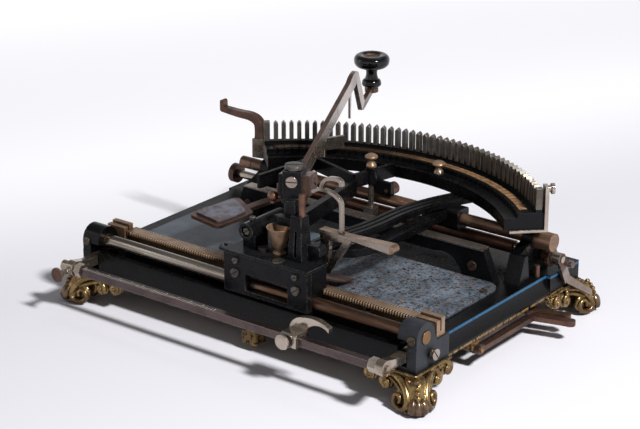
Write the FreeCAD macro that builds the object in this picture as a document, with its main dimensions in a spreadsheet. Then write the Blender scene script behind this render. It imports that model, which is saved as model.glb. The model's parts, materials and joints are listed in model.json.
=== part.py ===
import FreeCAD, Part
import math
import os
import re

# Radial index typewriter. Millimetres, +Z up, typist on the -Y side, +X to the typist's right.
# Origin: on the table, at the centre of the four feet. A size written with "=" follows the sizes it names.

os.makedirs("parts", exist_ok=True)
doc = FreeCAD.newDocument("index_typewriter")
Vec = FreeCAD.Vector

SIZES = (
    ("base_half_x", 168.0, "half length of the base"),
    ("base_half_y", 116.0, "half depth of the base"),
    ("base_bottom", 26.0, "underside of the base, which is the height of the feet"),
    ("deck_top", 44.0, "top of the deck"),
    ("deck_thick", 6.0, "thickness of the deck"),
    ("cove_inset", 4.5, "how far the cove's top edge sits inside its foot"),
    ("skirt_lip", 4.0, "height of the upright lip under the cove"),
    ("skirt_thick", 5.0, "thickness of the skirts under the deck"),
    ("corner_width", 17.0, "width of the corner blocks and rail brackets along X"),
    ("corner_depth", 44.0, "length of the corner blocks and rail brackets along Y"),
    ("trough_depth", 12.0, "depth of the trough behind the lip"),
    ("toe_radius", 12.5, "largest radius of a foot's toe"),
    ("toe_outset", 5.0, "toe axis outside the base's outline"),
    ("wing_length", 54.0, "length of a foot's scroll wing"),
    ("wing_thick", 7.0, "thickness of a foot's scroll wing"),
    ("rail_radius", 5.25, "radius of the front rail"),
    ("rail_pos", "=base_half_y - 13.2", "front rail's distance from the middle, along Y"),
    ("rail_height", 52.8, "height of the front rail's axis"),
    ("running_gap", 0.06, "radial clearance of a running fit"),
    ("rail_boss", 11.8, "radius of the bracket's boss round the front rail"),
    ("rack_half", "=base_half_x - 20.5", "half length of the rack"),
    ("rack_near", "=base_half_y - 30.7", "rack's edge on the rail side, along Y"),
    ("rack_width", 12.8, "width of the rack over its teeth"),
    ("rack_top", 56.0, "top of the rack"),
    ("rack_thick", 3.0, "thickness of the rack"),
    ("tooth_pitch", 2.5, "pitch of the rack, one letter space"),
    ("tooth_depth", 3.0, "depth of the rack's teeth"),
    ("bed_half_x", "=base_half_x - 18", "half length of the bed plate"),
    ("bed_thick", 2.0, "thickness of the bed plate"),
    ("bed_front", "=base_half_y - 88", "bed plate's edge on the typist's side, distance along -Y"),
    ("bed_rear", "=base_half_y - 44", "bed plate's edge on the rack side, along Y"),
    ("beam_depth", 8.0, "thickness of the rear beam along Y"),
    ("beam_top", 70.0, "top of the rear beam"),
    ("beam_half", "=base_half_x - 36", "rear beam's right end at its top, from the middle"),
    ("beam_left", "=base_half_x - 54", "rear beam's left end at its top, from the middle"),
    ("guide_rail_radius", 5.3, "radius of the rear rail"),
    ("guide_rail_pos", "=base_half_y - 44", "rear rail's distance from the middle, along -Y"),
    ("feed_pos", "=base_half_y - 34.5", "feed roller's distance from the middle, along -Y"),
    ("feed_height", 56.2, "height of the feed roller's axis"),
    ("feed_radius", 5.6, "radius of the feed roller"),
    ("feed_shaft_radius", 2.8, "radius of the feed roller's shaft"),
    ("bail_pivot_pos", "=base_half_y - 19", "bail hinge along Y"),
    ("bail_pivot_height", 38.5, "height of the bail hinge"),
    ("bail_reach", 42.0, "hinge to bail bar"),
    ("bail_bar", 6.5, "side of the square bail bar"),
    ("bail_arm", 7.0, "thickness of a bail arm"),
    ("stop_offset", 73.0, "margin stop's distance from the middle, along -X"),
    ("carriage_offset", 25.0, "carriage's distance from the middle, along -X"),
    ("carriage_half", 41.1, "half length of the carriage block"),
    ("plate_bottom", 48.0, "underside of the carriage's face plate"),
    ("plate_top", 79.5, "top of the carriage's face plate"),
    ("guide_rail_height", "=plate_top - 6.5", "height of the rear rail's axis"),
    ("plate_thick", 5.5, "thickness of the face plate"),
    ("window_length", 42.0, "length of the face plate's window"),
    ("window_tall", 14.0, "height of the face plate's window"),
    ("pivot_pos", "=base_half_y - 39", "lever pivot along Y"),
    ("column_radius", 8.0, "radius of the pivot column"),
    ("pin_radius", 4.0, "radius of the pivot pin"),
    ("comb_radius", 192.7, "radius of the comb's middle line"),
    ("ring_inner", "=comb_radius - 27.7", "inner radius of the index ring"),
    ("ring_outer", "=comb_radius + 4.3", "outer radius of the index ring"),
    ("ring_bottom", "=plate_top + 8.5", "underside of the index ring"),
    ("ring_top", "=ring_bottom + 10", "top of the index ring's flat inner part"),
    ("ring_step", "=ring_top + 4", "top of the index ring's raised step"),
    ("ring_half_angle", 46.2, "half of the index ring's arc, in degrees"),
    ("comb_top", "=ring_step + 19.8", "height of the fins' points"),
    ("fin_pitch", 2.0048, "angle from fin to fin, in degrees"),
    ("fin_count", 44, "number of fins"),
    ("fin_width", 3.7, "width of a fin"),
    ("fin_depth", 5.0, "depth of a fin, along the radius"),
    ("lever_heading", 24.0576, "heading of the lever from -Y towards +X, in degrees"),
    ("press_height", "=plate_top + 52.5", "height of the lever's cross pin"),
    ("press_offset", 13.0, "pivot to the lever's cross pin"),
    ("lever_top", "=press_height + 30.5", "height of the lever's far end"),
    ("lever_reach", "=comb_radius + 18.3", "pivot to the far end of the lever's flat bar"),
    ("lever_thick", 4.0, "thickness of the lever's flat bar"),
    ("lever_deep", 12.5, "depth of the lever's flat bar"),
    ("knob_reach", "=comb_radius + 88.3", "pivot to the knob"),
    ("knob_radius", 16.0, "largest radius of the knob"),
    ("knob_bottom", "=press_height - 4", "underside of the knob"),
    ("knob_tall", 29.5, "height of the knob"),
    ("key_thick", 4.0, "thickness of a key"),
    ("key_bottom", 14.5, "underside of a key"),
)

sheet = doc.addObject("Spreadsheet::Sheet", "dims")
for row, (alias, value, note) in enumerate(SIZES, start=1):
    sheet.set("A%d" % row, note)
    sheet.set("B%d" % row, str(value))
    sheet.setAlias("B%d" % row, alias)
doc.recompute()


class Sizes:
    """Reads a size from the sheet by its alias."""

    def __getattr__(self, alias):
        return float(getattr(sheet, alias))


d = Sizes()
nodes = []
cuts = []


def ex(text):
    """Turns sizes written by alias into a sheet expression."""
    return re.sub(r"[a-z]+_[a-z_]*[a-z]", lambda found: "dims." + found.group(0), str(text))


def body(label, at=None, turn=None, axis=(0, 0, 1), node=True):
    """An empty body, placed by expressions for x, y, z and a turn in degrees."""
    item = doc.addObject("PartDesign::Body", label)
    item.Label = label
    if turn is not None:
        item.Placement = FreeCAD.Placement(Vec(), FreeCAD.Rotation(Vec(*axis), 1.0))
        item.setExpression("Placement.Rotation.Angle", ex(turn))
    for letter, text in zip("xyz", at or ()):
        item.setExpression("Placement.Base." + letter, ex(text))
    if node:
        nodes.append(item)
    return item


def origin_part(item, role):
    return next(part for part in item.Origin.OriginFeatures if part.Role == role)


def bulge(start, middle, end):
    """How far the middle point stands off the line from start to end."""
    across = (end[0] - start[0]) * (middle[1] - start[1]) - (end[1] - start[1]) * (middle[0] - start[0])
    return abs(across) / math.dist(start, end)


def draw(sketch, loop):
    """A circle ("circle", x, y, r), or points where a four-number entry is an arc's middle and end."""
    if loop[0] == "circle":
        sketch.addGeometry(Part.Circle(Vec(loop[1], loop[2], 0), Vec(0, 0, 1), loop[3]))
        return
    last = loop[0]
    steps = list(loop[1:])
    if math.dist(steps[-1][-2:], last) > 1e-6:
        steps.append(last)
    for step in steps:
        end = step[-2:]
        if len(step) == 4 and bulge(last, step[:2], end) > 0.001:
            curve = Part.Arc(Vec(last[0], last[1], 0), Vec(step[0], step[1], 0), Vec(end[0], end[1], 0))
        else:
            curve = Part.LineSegment(Vec(last[0], last[1], 0), Vec(end[0], end[1], 0))
        sketch.addGeometry(curve)
        last = end


def outline(item, plane, offset, loops):
    sketch = item.newObject("Sketcher::SketchObject", item.Name + "_sketch")
    sketch.AttachmentSupport = [(origin_part(item, plane + "_Plane"), "")]
    sketch.MapMode = "FlatFace"
    sketch.setExpression("AttachmentOffset.Base.z", ex(offset))
    for loop in loops:
        draw(sketch, loop)
    sketch.Visibility = False
    return sketch


def span(axis, low, high):
    """Plane, offset and length of a straight run along an axis. The XZ plane faces -Y."""
    plane = {"x": "YZ", "y": "XZ", "z": "XY"}[axis]
    offset = "-(%s)" % high if axis == "y" else "(%s)" % low
    return plane, offset, "(%s) - (%s)" % (high, low)


def add(item, axis, low, high, loops):
    """Pads loops from low to high: (y, z) for x, (x, z) for y, (x, y) for z."""
    plane, offset, length = span(axis, low, high)
    pad = item.newObject("PartDesign::Pad", item.Name + "_pad")
    pad.Profile = outline(item, plane, offset, loops)
    pad.setExpression("Length", ex(length))
    return pad


def cut(item, axis, low, high, loops):
    before = item.Tip
    plane, offset, length = span(axis, low, high)
    pocket = item.newObject("PartDesign::Pocket", item.Name + "_pocket")
    pocket.Profile = outline(item, plane, offset, loops)
    pocket.Reversed = True
    pocket.setExpression("Length", ex(length))
    cuts.append((before, pocket))
    return pocket


def turned(item, profile):
    """Revolves (radius, height) points round the body's own Z axis."""
    revolution = item.newObject("PartDesign::Revolution", item.Name + "_turned")
    sketch = outline(item, "XZ", "0", [profile])
    revolution.Profile = sketch
    revolution.ReferenceAxis = (sketch, ["V_Axis"])
    revolution.Angle = 360.0
    return revolution


def polar(item, feature, count, angle):
    """Repeats a feature round the body's Z axis over a total angle in degrees."""
    pattern = item.newObject("PartDesign::PolarPattern", item.Name + "_pattern")
    pattern.Originals = [feature]
    pattern.Axis = (origin_part(item, "Z_Axis"), [""])
    pattern.setExpression("Angle", ex(angle))
    pattern.setExpression("Occurrences", ex(count))
    item.Tip = pattern
    return pattern


def rect(left, low, right, high):
    return [(left, low), (right, low), (right, high), (left, high)]


def round_rect(left, low, right, high, radius):
    slack = radius * (1 - math.sqrt(0.5))
    return [
        (left + radius, low), (right - radius, low),
        (right - slack, low + slack, right, low + radius), (right, high - radius),
        (right - slack, high - slack, right - radius, high), (left + radius, high),
        (left + slack, high - slack, left, high - radius), (left, low + radius),
        (left + slack, low + slack, left + radius, low),
    ]


def rounded(points, radius):
    """A polygon with its corners rounded off."""
    loop = []
    for k, (x, y) in enumerate(points):
        ways = []
        for other in (points[k - 1], points[(k + 1) % len(points)]):
            length = math.dist(other, (x, y))
            ways.append(((other[0] - x) / length, (other[1] - y) / length))
        (ax, ay), (bx, by) = ways
        half_angle = math.acos(ax * bx + ay * by) / 2
        run = radius / math.tan(half_angle)
        middle = (radius / math.sin(half_angle) - radius) / math.hypot(ax + bx, ay + by)
        loop.append((x + ax * run, y + ay * run))
        loop.append((x + (ax + bx) * middle, y + (ay + by) * middle, x + bx * run, y + by * run))
    return loop


def around(radius, angle):
    """A point on a circle about the pivot, at an angle in degrees from -Y towards +X."""
    return radius * math.sin(math.radians(angle)), -radius * math.cos(math.radians(angle))


def arc_band(inner, outer, start, end):
    """A closed band between two radii and two angles from -Y towards +X."""
    middle = (start + end) / 2
    return [
        around(inner, start), around(inner, middle) + around(inner, end),
        around(outer, end), around(outer, middle) + around(outer, start),
    ]


def flipped(sign, loop):
    """The loop with its first numbers mirrored for the other side."""
    if loop[0] == "circle":
        return ("circle", sign * loop[1]) + tuple(loop[2:])
    return [tuple(sign * n if k % 2 == 0 else n for k, n in enumerate(point)) for point in loop]


def between(sign, low, high):
    """Low and high expressions on the +X side, or mirrored to the -X side."""
    return (low, high) if sign > 0 else ("-(%s)" % high, "-(%s)" % low)


def strip(points, width, tip=None):
    """A band along a line of points, of one width or running evenly to another at its tip."""
    left, right = [], []
    last = len(points) - 1
    for k, (x, y) in enumerate(points):
        half_wide = (width + ((tip or width) - width) * k / last) / 2
        before, after = points[max(k - 1, 0)], points[min(k + 1, last)]
        length = math.dist(before, after)
        across = ((before[1] - after[1]) / length, (after[0] - before[0]) / length)
        left.append((x + across[0] * half_wide, y + across[1] * half_wide))
        right.append((x - across[0] * half_wide, y - across[1] * half_wide))
    return left + right[::-1]


def ribbon(points, width, tip=None):
    """A band along a smooth line given by an odd number of points, as wide as a strip."""
    edge = strip(points, width, tip)
    there, back = edge[:len(points)], edge[len(points):]
    loop = [there[0]]
    for side in (there, back):
        if side is back:
            loop.append(back[0])
        loop += [side[k] + side[k + 1] for k in range(1, len(points) - 1, 2)]
    return loop


def bend(corners, count):
    """Points along a smooth line that leaves and reaches its corner points, by mid-point smoothing."""
    line = list(corners)
    for _ in range(count):
        finer = [line[0]]
        for (x0, y0), (x1, y1) in zip(line, line[1:]):
            finer += [(0.75 * x0 + 0.25 * x1, 0.75 * y0 + 0.25 * y1),
                      (0.25 * x0 + 0.75 * x1, 0.25 * y0 + 0.75 * y1)]
        line = finer + [line[-1]]
    return line if len(line) % 2 else line[:-2] + [line[-1]]


def screw(name, at, axis, head_radius, head_tall, shank_radius, shank_long):
    """A slotted screw whose head stands off a face at a point, along an axis."""
    head = doc.addObject("Part::Cylinder", name + "_head")
    head.Radius = head_radius
    head.Height = head_tall
    shank = doc.addObject("Part::Cylinder", name + "_shank")
    shank.Radius = shank_radius
    shank.Height = shank_long
    shank.Placement.Base.z = -shank_long
    joined = doc.addObject("Part::MultiFuse", name + "_joined")
    joined.Shapes = [head, shank]
    slot = doc.addObject("Part::Box", name + "_slot")
    slot.Length = 3 * head_radius
    slot.Width = 0.22 * head_radius
    slot.Height = head_tall
    slot.Placement.Base = Vec(-1.5 * head_radius, -0.11 * head_radius, 0.5 * head_tall)
    slot.Placement = FreeCAD.Placement(Vec(), FreeCAD.Rotation(Vec(0, 0, 1), 35.0)) * slot.Placement
    done = doc.addObject("Part::Cut", name)
    done.Base = joined
    done.Tool = slot
    done.Placement = FreeCAD.Placement(Vec(), FreeCAD.Rotation(Vec(0, 0, 1), Vec(*axis)))
    for letter, text in zip("xyz", at):
        done.setExpression("Placement.Base." + letter, ex(text))
    return done


def group(label, items):
    """Several equal pieces that share one node."""
    item = doc.addObject("Part::Compound", label)
    item.Label = label
    item.Links = items
    nodes.append(item)
    return item


# ---------------------------------------------------------------- base
edge_x = d.base_half_x - d.cove_inset
edge_y = d.base_half_y - d.cove_inset
inner_x = d.base_half_x - d.corner_width
corner_start = d.base_half_y - d.corner_depth
lip_back = d.rail_pos + d.rail_radius + 0.95
lip_front = d.base_half_y - 1.0
trough_back = d.rail_pos - 14.8
wing_end = d.wing_length - d.base_half_y - d.toe_outset


def cove(edge, foot, sign=1):
    """A coved skirt's section: across, height."""
    low = d.base_bottom + d.skirt_lip
    return flipped(sign, [
        (edge, d.deck_top),
        (edge + 0.25 * (foot - edge), (d.deck_top + low) / 2, foot, low),
        (foot, d.base_bottom),
        (edge - d.skirt_thick, d.base_bottom),
        (edge - d.skirt_thick, d.deck_top),
    ])


base = body("base_casting")
add(base, "z", "deck_top - deck_thick", "deck_top", [[
    (-edge_x, -edge_y), (edge_x, -edge_y), (edge_x, corner_start), (inner_x, corner_start),
    (inner_x, trough_back), (-inner_x, trough_back), (-inner_x, corner_start), (-edge_x, corner_start)]])
add(base, "y", "-(base_half_y - corner_depth)", "base_half_y - corner_depth",
    [cove(edge_x, d.base_half_x), cove(edge_x, d.base_half_x, -1)])
add(base, "x", "-(base_half_x - corner_width)", "base_half_x - corner_width",
    [cove(edge_y, d.base_half_y, -1)])
corner = rect(inner_x, -d.base_half_y, d.base_half_x, -corner_start)
add(base, "z", "base_bottom", "deck_top", [corner, flipped(-1, corner)])
add(base, "z", "base_bottom + 4", "deck_top", [rect(-inner_x, trough_back - 4, inner_x, trough_back)])
add(base, "z", "deck_top - trough_depth - 4", "deck_top - trough_depth",
    [rect(-inner_x, trough_back, inner_x, lip_back)])
add(base, "z", "base_bottom", "deck_top + 1.5", [rect(-inner_x, lip_back, inner_x, lip_front)])
side_wall = rect(inner_x - 4, corner_start, inner_x, lip_back)
add(base, "z", "base_bottom", "deck_top", [side_wall, flipped(-1, side_wall)])
rib = rect(50, -edge_y, 54, trough_back)
add(base, "z", "base_bottom + 4", "deck_top - deck_thick", [rib, flipped(-1, rib)])
add(base, "z", "6", "deck_top - trough_depth - 4", [round_rect(-14, d.rail_pos - 3.8, 1, d.rail_pos + 10.2, 2)])
pin_y, pin_z = 30.0, d.key_bottom + d.key_thick / 2
add(base, "x", "-(base_half_x - 3.5)", "-(base_half_x - 9.5)",
    [[(24, d.base_bottom), (36, d.base_bottom), (34, pin_z), (pin_y, pin_z - 4, 26, pin_z)]])
add(base, "x", "-(base_half_x + 3)", "-(base_half_x - 14.5)", [("circle", pin_y, pin_z, 1.8)])
bed_screw_x = d.bed_half_x - 4.5
bed_screw_spots = [(sx * bed_screw_x, y) for sx in (1, -1) for y in (19.2 - d.bed_front, d.bed_rear - 10)]
cut(base, "z", "deck_top - deck_thick", "deck_top", [("circle", x, y, 2.0) for x, y in bed_screw_spots])

# ---------------------------------------------------------------- feet
toe_profile = [
    (0, 0), (0.5 * d.toe_radius, 0), (0.87 * d.toe_radius, 1.9, d.toe_radius, 7.0),
    (0.95 * d.toe_radius, 11.0, 0.7 * d.toe_radius, 15.0), (0, 15.0),
]
leg_sections = ((5.0, 0.0, 0.9), (15.0, 0.3, 0.88), (d.base_bottom, 0.95, 1.05))
scroll = [
    (0.1, 1), (0.95, 1), (1.03, 0.78, 1.02, 0.56), (0.98, 0.41, 0.89, 0.45), (0.79, 0.23, 0.68, 0.34),
    (0.58, 0.2, 0.48, 0.26), (0.38, 0.12, 0.28, 0.18), (0.1, 0.18),
]


def faceted(x, y, radius):
    """A twelve-sided section round (x, y)."""
    return [(x + px, y + py) for px, py in (around(radius, 30 * k + 7) for k in range(12))]


def wing(sign):
    """The scalloped outline of a wing that runs inward from the toe."""
    shape = []
    for point in scroll:
        shape.append(tuple(
            -sign * n * d.wing_length if k % 2 == 0 else n * d.base_bottom
            for k, n in enumerate(point)))
    return shape


for side, sx in (("left", 1), ("right", -1)):
    for end, sy in (("rear", 1), ("front", -1)):
        foot = body("foot_%s_%s" % (end, side), ("%d * (base_half_x + toe_outset)" % sx,
                                                 "%d * (base_half_y + toe_outset)" % sy, "0"))
        turned(foot, toe_profile)
        rings = []
        for height, inward, radius in leg_sections:
            shift = -inward * d.toe_radius
            rings.append(outline(foot, "XY", str(height), [
                faceted(sx * shift, sy * shift, radius * d.toe_radius)]))
        leg = foot.newObject("PartDesign::AdditiveLoft", foot.Name + "_leg")
        leg.Profile = rings[0]
        leg.Sections = rings[1:]
        leg.Ruled = True
        low, high = between(sy, "-toe_outset + 1 - wing_thick", "-toe_outset + 1")
        add(foot, "y", low, high, [wing(sx)])
        low, high = between(sx, "-toe_outset + 1 - wing_thick", "-toe_outset + 1")
        add(foot, "x", low, high, [wing(sy)])

# ---------------------------------------------------------------- rail brackets and front rail
boss_front = d.rail_pos + d.rail_boss
ledge = d.deck_top + 2.0
bracket_profile = [
    (corner_start, d.base_bottom), (lip_front, d.base_bottom), (lip_front, d.deck_top),
    (boss_front, ledge), (boss_front, d.rail_height),
    (d.rail_pos, d.rail_height + d.rail_boss, d.rail_pos - d.rail_boss, d.rail_height),
    (d.rail_pos - d.rail_boss - 2.5, ledge), (corner_start, ledge),
]
arm_slot = [
    (trough_back, d.bail_pivot_height - 8), (lip_front + 1, d.bail_pivot_height - 8),
    (lip_front + 1, d.rail_height - 0.5), (d.rail_pos - 1.8, d.rail_height - 6.0),
    (trough_back, d.bail_pivot_height + 7),
]
for side, sx in (("left", 1), ("right", -1)):
    bracket = body("rail_bracket_" + side)
    low, high = between(sx, "base_half_x - corner_width", "base_half_x")
    add(bracket, "x", low, high, [bracket_profile])
    low, high = between(sx, "base_half_x - corner_width", "base_half_x - corner_width + bail_arm + 1.7")
    cut(bracket, "x", low, high, [arm_slot])
    low, high = between(sx, "base_half_x - corner_width", "base_half_x")
    cut(bracket, "x", low, high, [("circle", d.rail_pos, d.rail_height, d.rail_radius)])
    cut(bracket, "x", low, high, [("circle", d.bail_pivot_pos, d.bail_pivot_height, 2.5)])
    screw_x = sx * (d.base_half_x - 4.5)
    cut(bracket, "y", "rail_pos + rail_radius + 0.5", "rail_pos + rail_boss + 1",
        [("circle", screw_x, d.rail_height, 2.2)])

rail = body("front_rail")
add(rail, "x", "-(base_half_x + 0.8)", "base_half_x + 0.8",
    [("circle", d.rail_pos, d.rail_height, d.rail_radius)])

# ---------------------------------------------------------------- rack
rack = body("rack_bar")
rack_far = d.rack_near - d.rack_width
teeth = int(2 * (d.rack_half - 4) // d.tooth_pitch)
near_edge, far_edge = [], []
for k in range(teeth):
    x = (k - teeth / 2) * d.tooth_pitch
    near_edge += [(x, d.rack_near), (x + d.tooth_pitch / 2, d.rack_near - d.tooth_depth)]
    far_edge += [(x, rack_far), (x + d.tooth_pitch / 2, rack_far + d.tooth_depth)]
last_x = (teeth - teeth / 2) * d.tooth_pitch
rack_outline = ([(-d.rack_half, rack_far)] + far_edge + [(last_x, rack_far), (d.rack_half, rack_far)]
                + [(d.rack_half, d.rack_near), (last_x, d.rack_near)] + near_edge[::-1]
                + [(-d.rack_half, d.rack_near)])
add(rack, "z", "rack_top - rack_thick", "rack_top", [rack_outline])
add(rack, "z", "deck_top", "rack_top - rack_thick",
    [rect(-d.rack_half, rack_far + 5, d.rack_half, rack_far + 8)])
cut(rack, "y", "rack_near - rack_width + 4", "rack_near - rack_width + 9", [rect(-101, 46, -95, 51)])

clamp_far = d.rack_near - 9.3
clamp_near = d.rack_near + 1.2
clamps = []
for side, sx in (("left", 1), ("right", -1)):
    clamp = body("clamp_" + side, node=False)
    low, high = between(sx, "rack_half", "base_half_x - 1.5")
    add(clamp, "x", low, high, [[
        (clamp_far, ledge), (clamp_near, ledge), (clamp_near, d.rack_top + 3), (clamp_far + 6, d.rack_top + 3),
        (clamp_far + 6, ledge + 4), (clamp_far + 4.4, ledge + 4), (clamp_far + 4.4, d.rack_top + 4.5),
        (clamp_far, d.rack_top + 4.5)]])
    clamps.append(clamp)
group("rack_clamps", clamps)

# ---------------------------------------------------------------- bed plate
bed = body("bed_plate")
bed_outline = [
    (-d.bed_half_x, d.bed_rear), (-d.bed_half_x, -d.bed_front + 12),
    (-d.bed_half_x + 3.5, -d.bed_front + 3.5, -d.bed_half_x + 12, -d.bed_front),
    (d.bed_half_x - 12, -d.bed_front),
    (d.bed_half_x - 3.5, -d.bed_front + 3.5, d.bed_half_x, -d.bed_front + 12), (d.bed_half_x, d.bed_rear),
]
add(bed, "z", "deck_top", "deck_top + bed_thick", [bed_outline])
cut(bed, "z", "deck_top", "deck_top + bed_thick", [("circle", x, y, 2.0) for x, y in bed_screw_spots])
frame_screws = [
    screw("bed_screw_%d" % k, ("%d * (bed_half_x - 4.5)" % (1 if x > 0 else -1), str(y),
                               "deck_top + bed_thick"), (0, 0, 1), 3.2, 1.0, 2.0, 7.0)
    for k, (x, y) in enumerate(bed_screw_spots)]
for k, sx in enumerate((1, -1)):
    frame_screws.append(screw("rail_screw_%d" % k, (
        "%d * (base_half_x - 4.5)" % sx, "rail_pos + rail_boss", "rail_height"), (0, 1, 0),
        3.4, 1.4, 2.2, 5.0))
    frame_screws.append(screw("bail_stud_%d" % k, (
        "%d * (base_half_x + 2.4)" % sx, "bail_pivot_pos", "bail_pivot_height"), (sx, 0, 0),
        4.4, 3.4, 2.47, 18.0))

# ---------------------------------------------------------------- rear beam and uprights
beam = body("rear_beam")
beam_splay = 11.0
arch_top = d.beam_top - 10
add(beam, "y", "-(bed_front + beam_depth)", "-bed_front", [[
    (-d.beam_half - beam_splay, d.deck_top), (-d.beam_half, d.beam_top), (d.beam_left, d.beam_top),
    (d.beam_left + beam_splay, d.deck_top), (d.beam_left - 14, d.deck_top),
    (d.beam_left - 20, arch_top - 4, d.beam_left - 38, arch_top), (46 - d.beam_half, arch_top),
    (26 - d.beam_half, arch_top - 4, 20 - d.beam_half, d.deck_top)]])
cut(beam, "y", "-(bed_front + 6)", "-bed_front",
    [("circle", x, 56.0, 2.2) for x in (d.beam_left - 6, -d.beam_half + 10)])
beam_strip = body("beam_strip")
add(beam_strip, "y", "-(bed_front + beam_depth + 1.5)", "-bed_front + 0.5",
    [rect(-d.beam_half + 1, d.beam_top, d.beam_left - 1, d.beam_top + 1.6)])
frame_screws += [
    screw("beam_screw_%d" % k, (x, "-bed_front", "56"), (0, 1, 0), 4.0, 1.6, 2.2, 6.0)
    for k, x in enumerate(("beam_left - 6", "-beam_half + 10"))]
deck_post = body("deck_post", node=False)
add(deck_post, "z", "deck_top", "deck_top + 10", [("circle", -(d.base_half_x - 8), wing_end + 3, 2.2)])
group("frame_screws", frame_screws + [deck_post])

guide_y = -d.guide_rail_pos
feed_y = -d.feed_pos
beam_back = -d.bed_front - d.beam_depth
upright_profile = [
    (beam_back - 2, d.deck_top), (beam_back - 10, 66.0), (guide_y + 9, d.guide_rail_height),
    (guide_y, d.guide_rail_height + 9, guide_y - 9, d.guide_rail_height),
    (feed_y - 8, d.feed_height), (feed_y - 9, d.deck_top),
]
for side, low, high in (("left", "beam_left + 2", "beam_left + 11"),
                        ("right", "-(beam_half + 22)", "-(beam_half + 13)")):
    upright = body("rear_upright_" + side)
    add(upright, "x", low, high, [upright_profile])
    cut(upright, "x", low, high, [("circle", guide_y, d.guide_rail_height, d.guide_rail_radius)])
    cut(upright, "x", low, high,
        [("circle", feed_y, d.feed_height, d.feed_shaft_radius + d.running_gap)])
    if side == "right":
        add(upright, "x", "-(beam_half + 27)", "-(beam_half + 22)",
            [[(beam_back - 10.5, 66.0), (beam_back - 3, d.deck_top), (beam_back - 18, d.deck_top),
              (beam_back - 15, 66.0)]])
guide_rail = body("rail_bar", node=False)
rail_circle = ("circle", guide_y, d.guide_rail_height, d.guide_rail_radius)
add(guide_rail, "x", "-(beam_half + 22.2)", "base_half_x - 17", [rail_circle])
cut(guide_rail, "x", "base_half_x - 30", "base_half_x - 29.2",
    [rail_circle, ("circle", guide_y, d.guide_rail_height, d.guide_rail_radius - 0.4)])
rail_cap = body("rail_cap", node=False)
add(rail_cap, "x", "-(base_half_x + 2)", "-(beam_half + 22.2)",
    [("circle", guide_y, d.guide_rail_height, d.guide_rail_radius + 2.2)])
group("rear_rail", [guide_rail, rail_cap])

# ---------------------------------------------------------------- feed roller
feed_shaft = body("feed_shaft")
add(feed_shaft, "x", "-(base_half_x + 5.4)", "base_half_x + 1",
    [("circle", feed_y, d.feed_height, d.feed_shaft_radius)])


def sleeve(label, low, high, radius, node=True):
    """A sleeve fixed on the feed roller's shaft."""
    item = body(label, node=node)
    add(item, "x", low, high, [("circle", feed_y, d.feed_height, radius),
                               ("circle", feed_y, d.feed_height, d.feed_shaft_radius)])
    return item


sleeve("feed_roller", "-(beam_half - 4)", "beam_left - 4", d.feed_radius)
sleeve("feed_knob", "base_half_x - 4", "base_half_x + 1.5", 8.6)
group("feed_sleeves", [
    sleeve("sleeve_right", "-(beam_half + 12.4)", "-(beam_half - 3)", 5.0, node=False),
    sleeve("sleeve_end", "beam_left + 11.5", "base_half_x - 27", 7.0, node=False),
    sleeve("sleeve_left", "base_half_x - 27", "base_half_x - 4", 3.6, node=False),
    sleeve("sleeve_collar", "-(base_half_x - 8)", "-(beam_half + 22.5)", 4.8, node=False),
])
ratchet = body("ratchet_wheel", ("-(base_half_x - 4.5)", "-feed_pos", "feed_height"), "90", (0, 1, 0))
ratchet_points = []
for k in range(16):
    turn = math.radians(22.5 * k)
    back = math.radians(22.5 * k + 20.0)
    ratchet_points += [(8.0 * math.cos(turn), 8.0 * math.sin(turn)),
                       (6.6 * math.cos(back), 6.6 * math.sin(back))]
add(ratchet, "z", "0", "3.5", [ratchet_points, ("circle", 0, 0, d.feed_shaft_radius + 0.02)])
spacer = body("line_space_lever")
spacer_far, spacer_near = "-(base_half_x + 4.6)", "-(base_half_x + 1.6)"
hub_circle = ("circle", feed_y, d.feed_height, 5.2)
bore = ("circle", feed_y, d.feed_height, d.feed_shaft_radius + d.running_gap)
add(spacer, "x", spacer_far, "-(base_half_x - 4)", [hub_circle])
for path, width in (([(feed_y, d.feed_height), (feed_y - 5, d.feed_height - 11), (feed_y - 10.5, 35.0)], 8.0),
                    ([(feed_y, d.feed_height), (feed_y - 10.5, 49.5)], 5.0)):
    add(spacer, "x", spacer_far, spacer_near, [strip(path, width)])
add(spacer, "x", "-(base_half_x + 8.5)", spacer_near, [("circle", feed_y - 10.5, 49.5, 2.8)])
finger_ends = []
for reach, outward, height, tall in ((9.0, 3.1, 37.0, 8.0), (33.0, 13.0, 19.0, 5.0)):
    x = -(d.base_half_x + outward)
    finger_ends.append(outline(spacer, "XZ", "feed_pos + %s" % reach, [
        rect(x - 1.5, height - tall / 2, x + 1.5, height + tall / 2)]))
spacer_finger = spacer.newObject("PartDesign::AdditiveLoft", "spacer_finger")
spacer_finger.Profile = finger_ends[0]
spacer_finger.Sections = finger_ends[1:]
cut(spacer, "x", spacer_far, "-(base_half_x - 4)", [bore])

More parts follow.
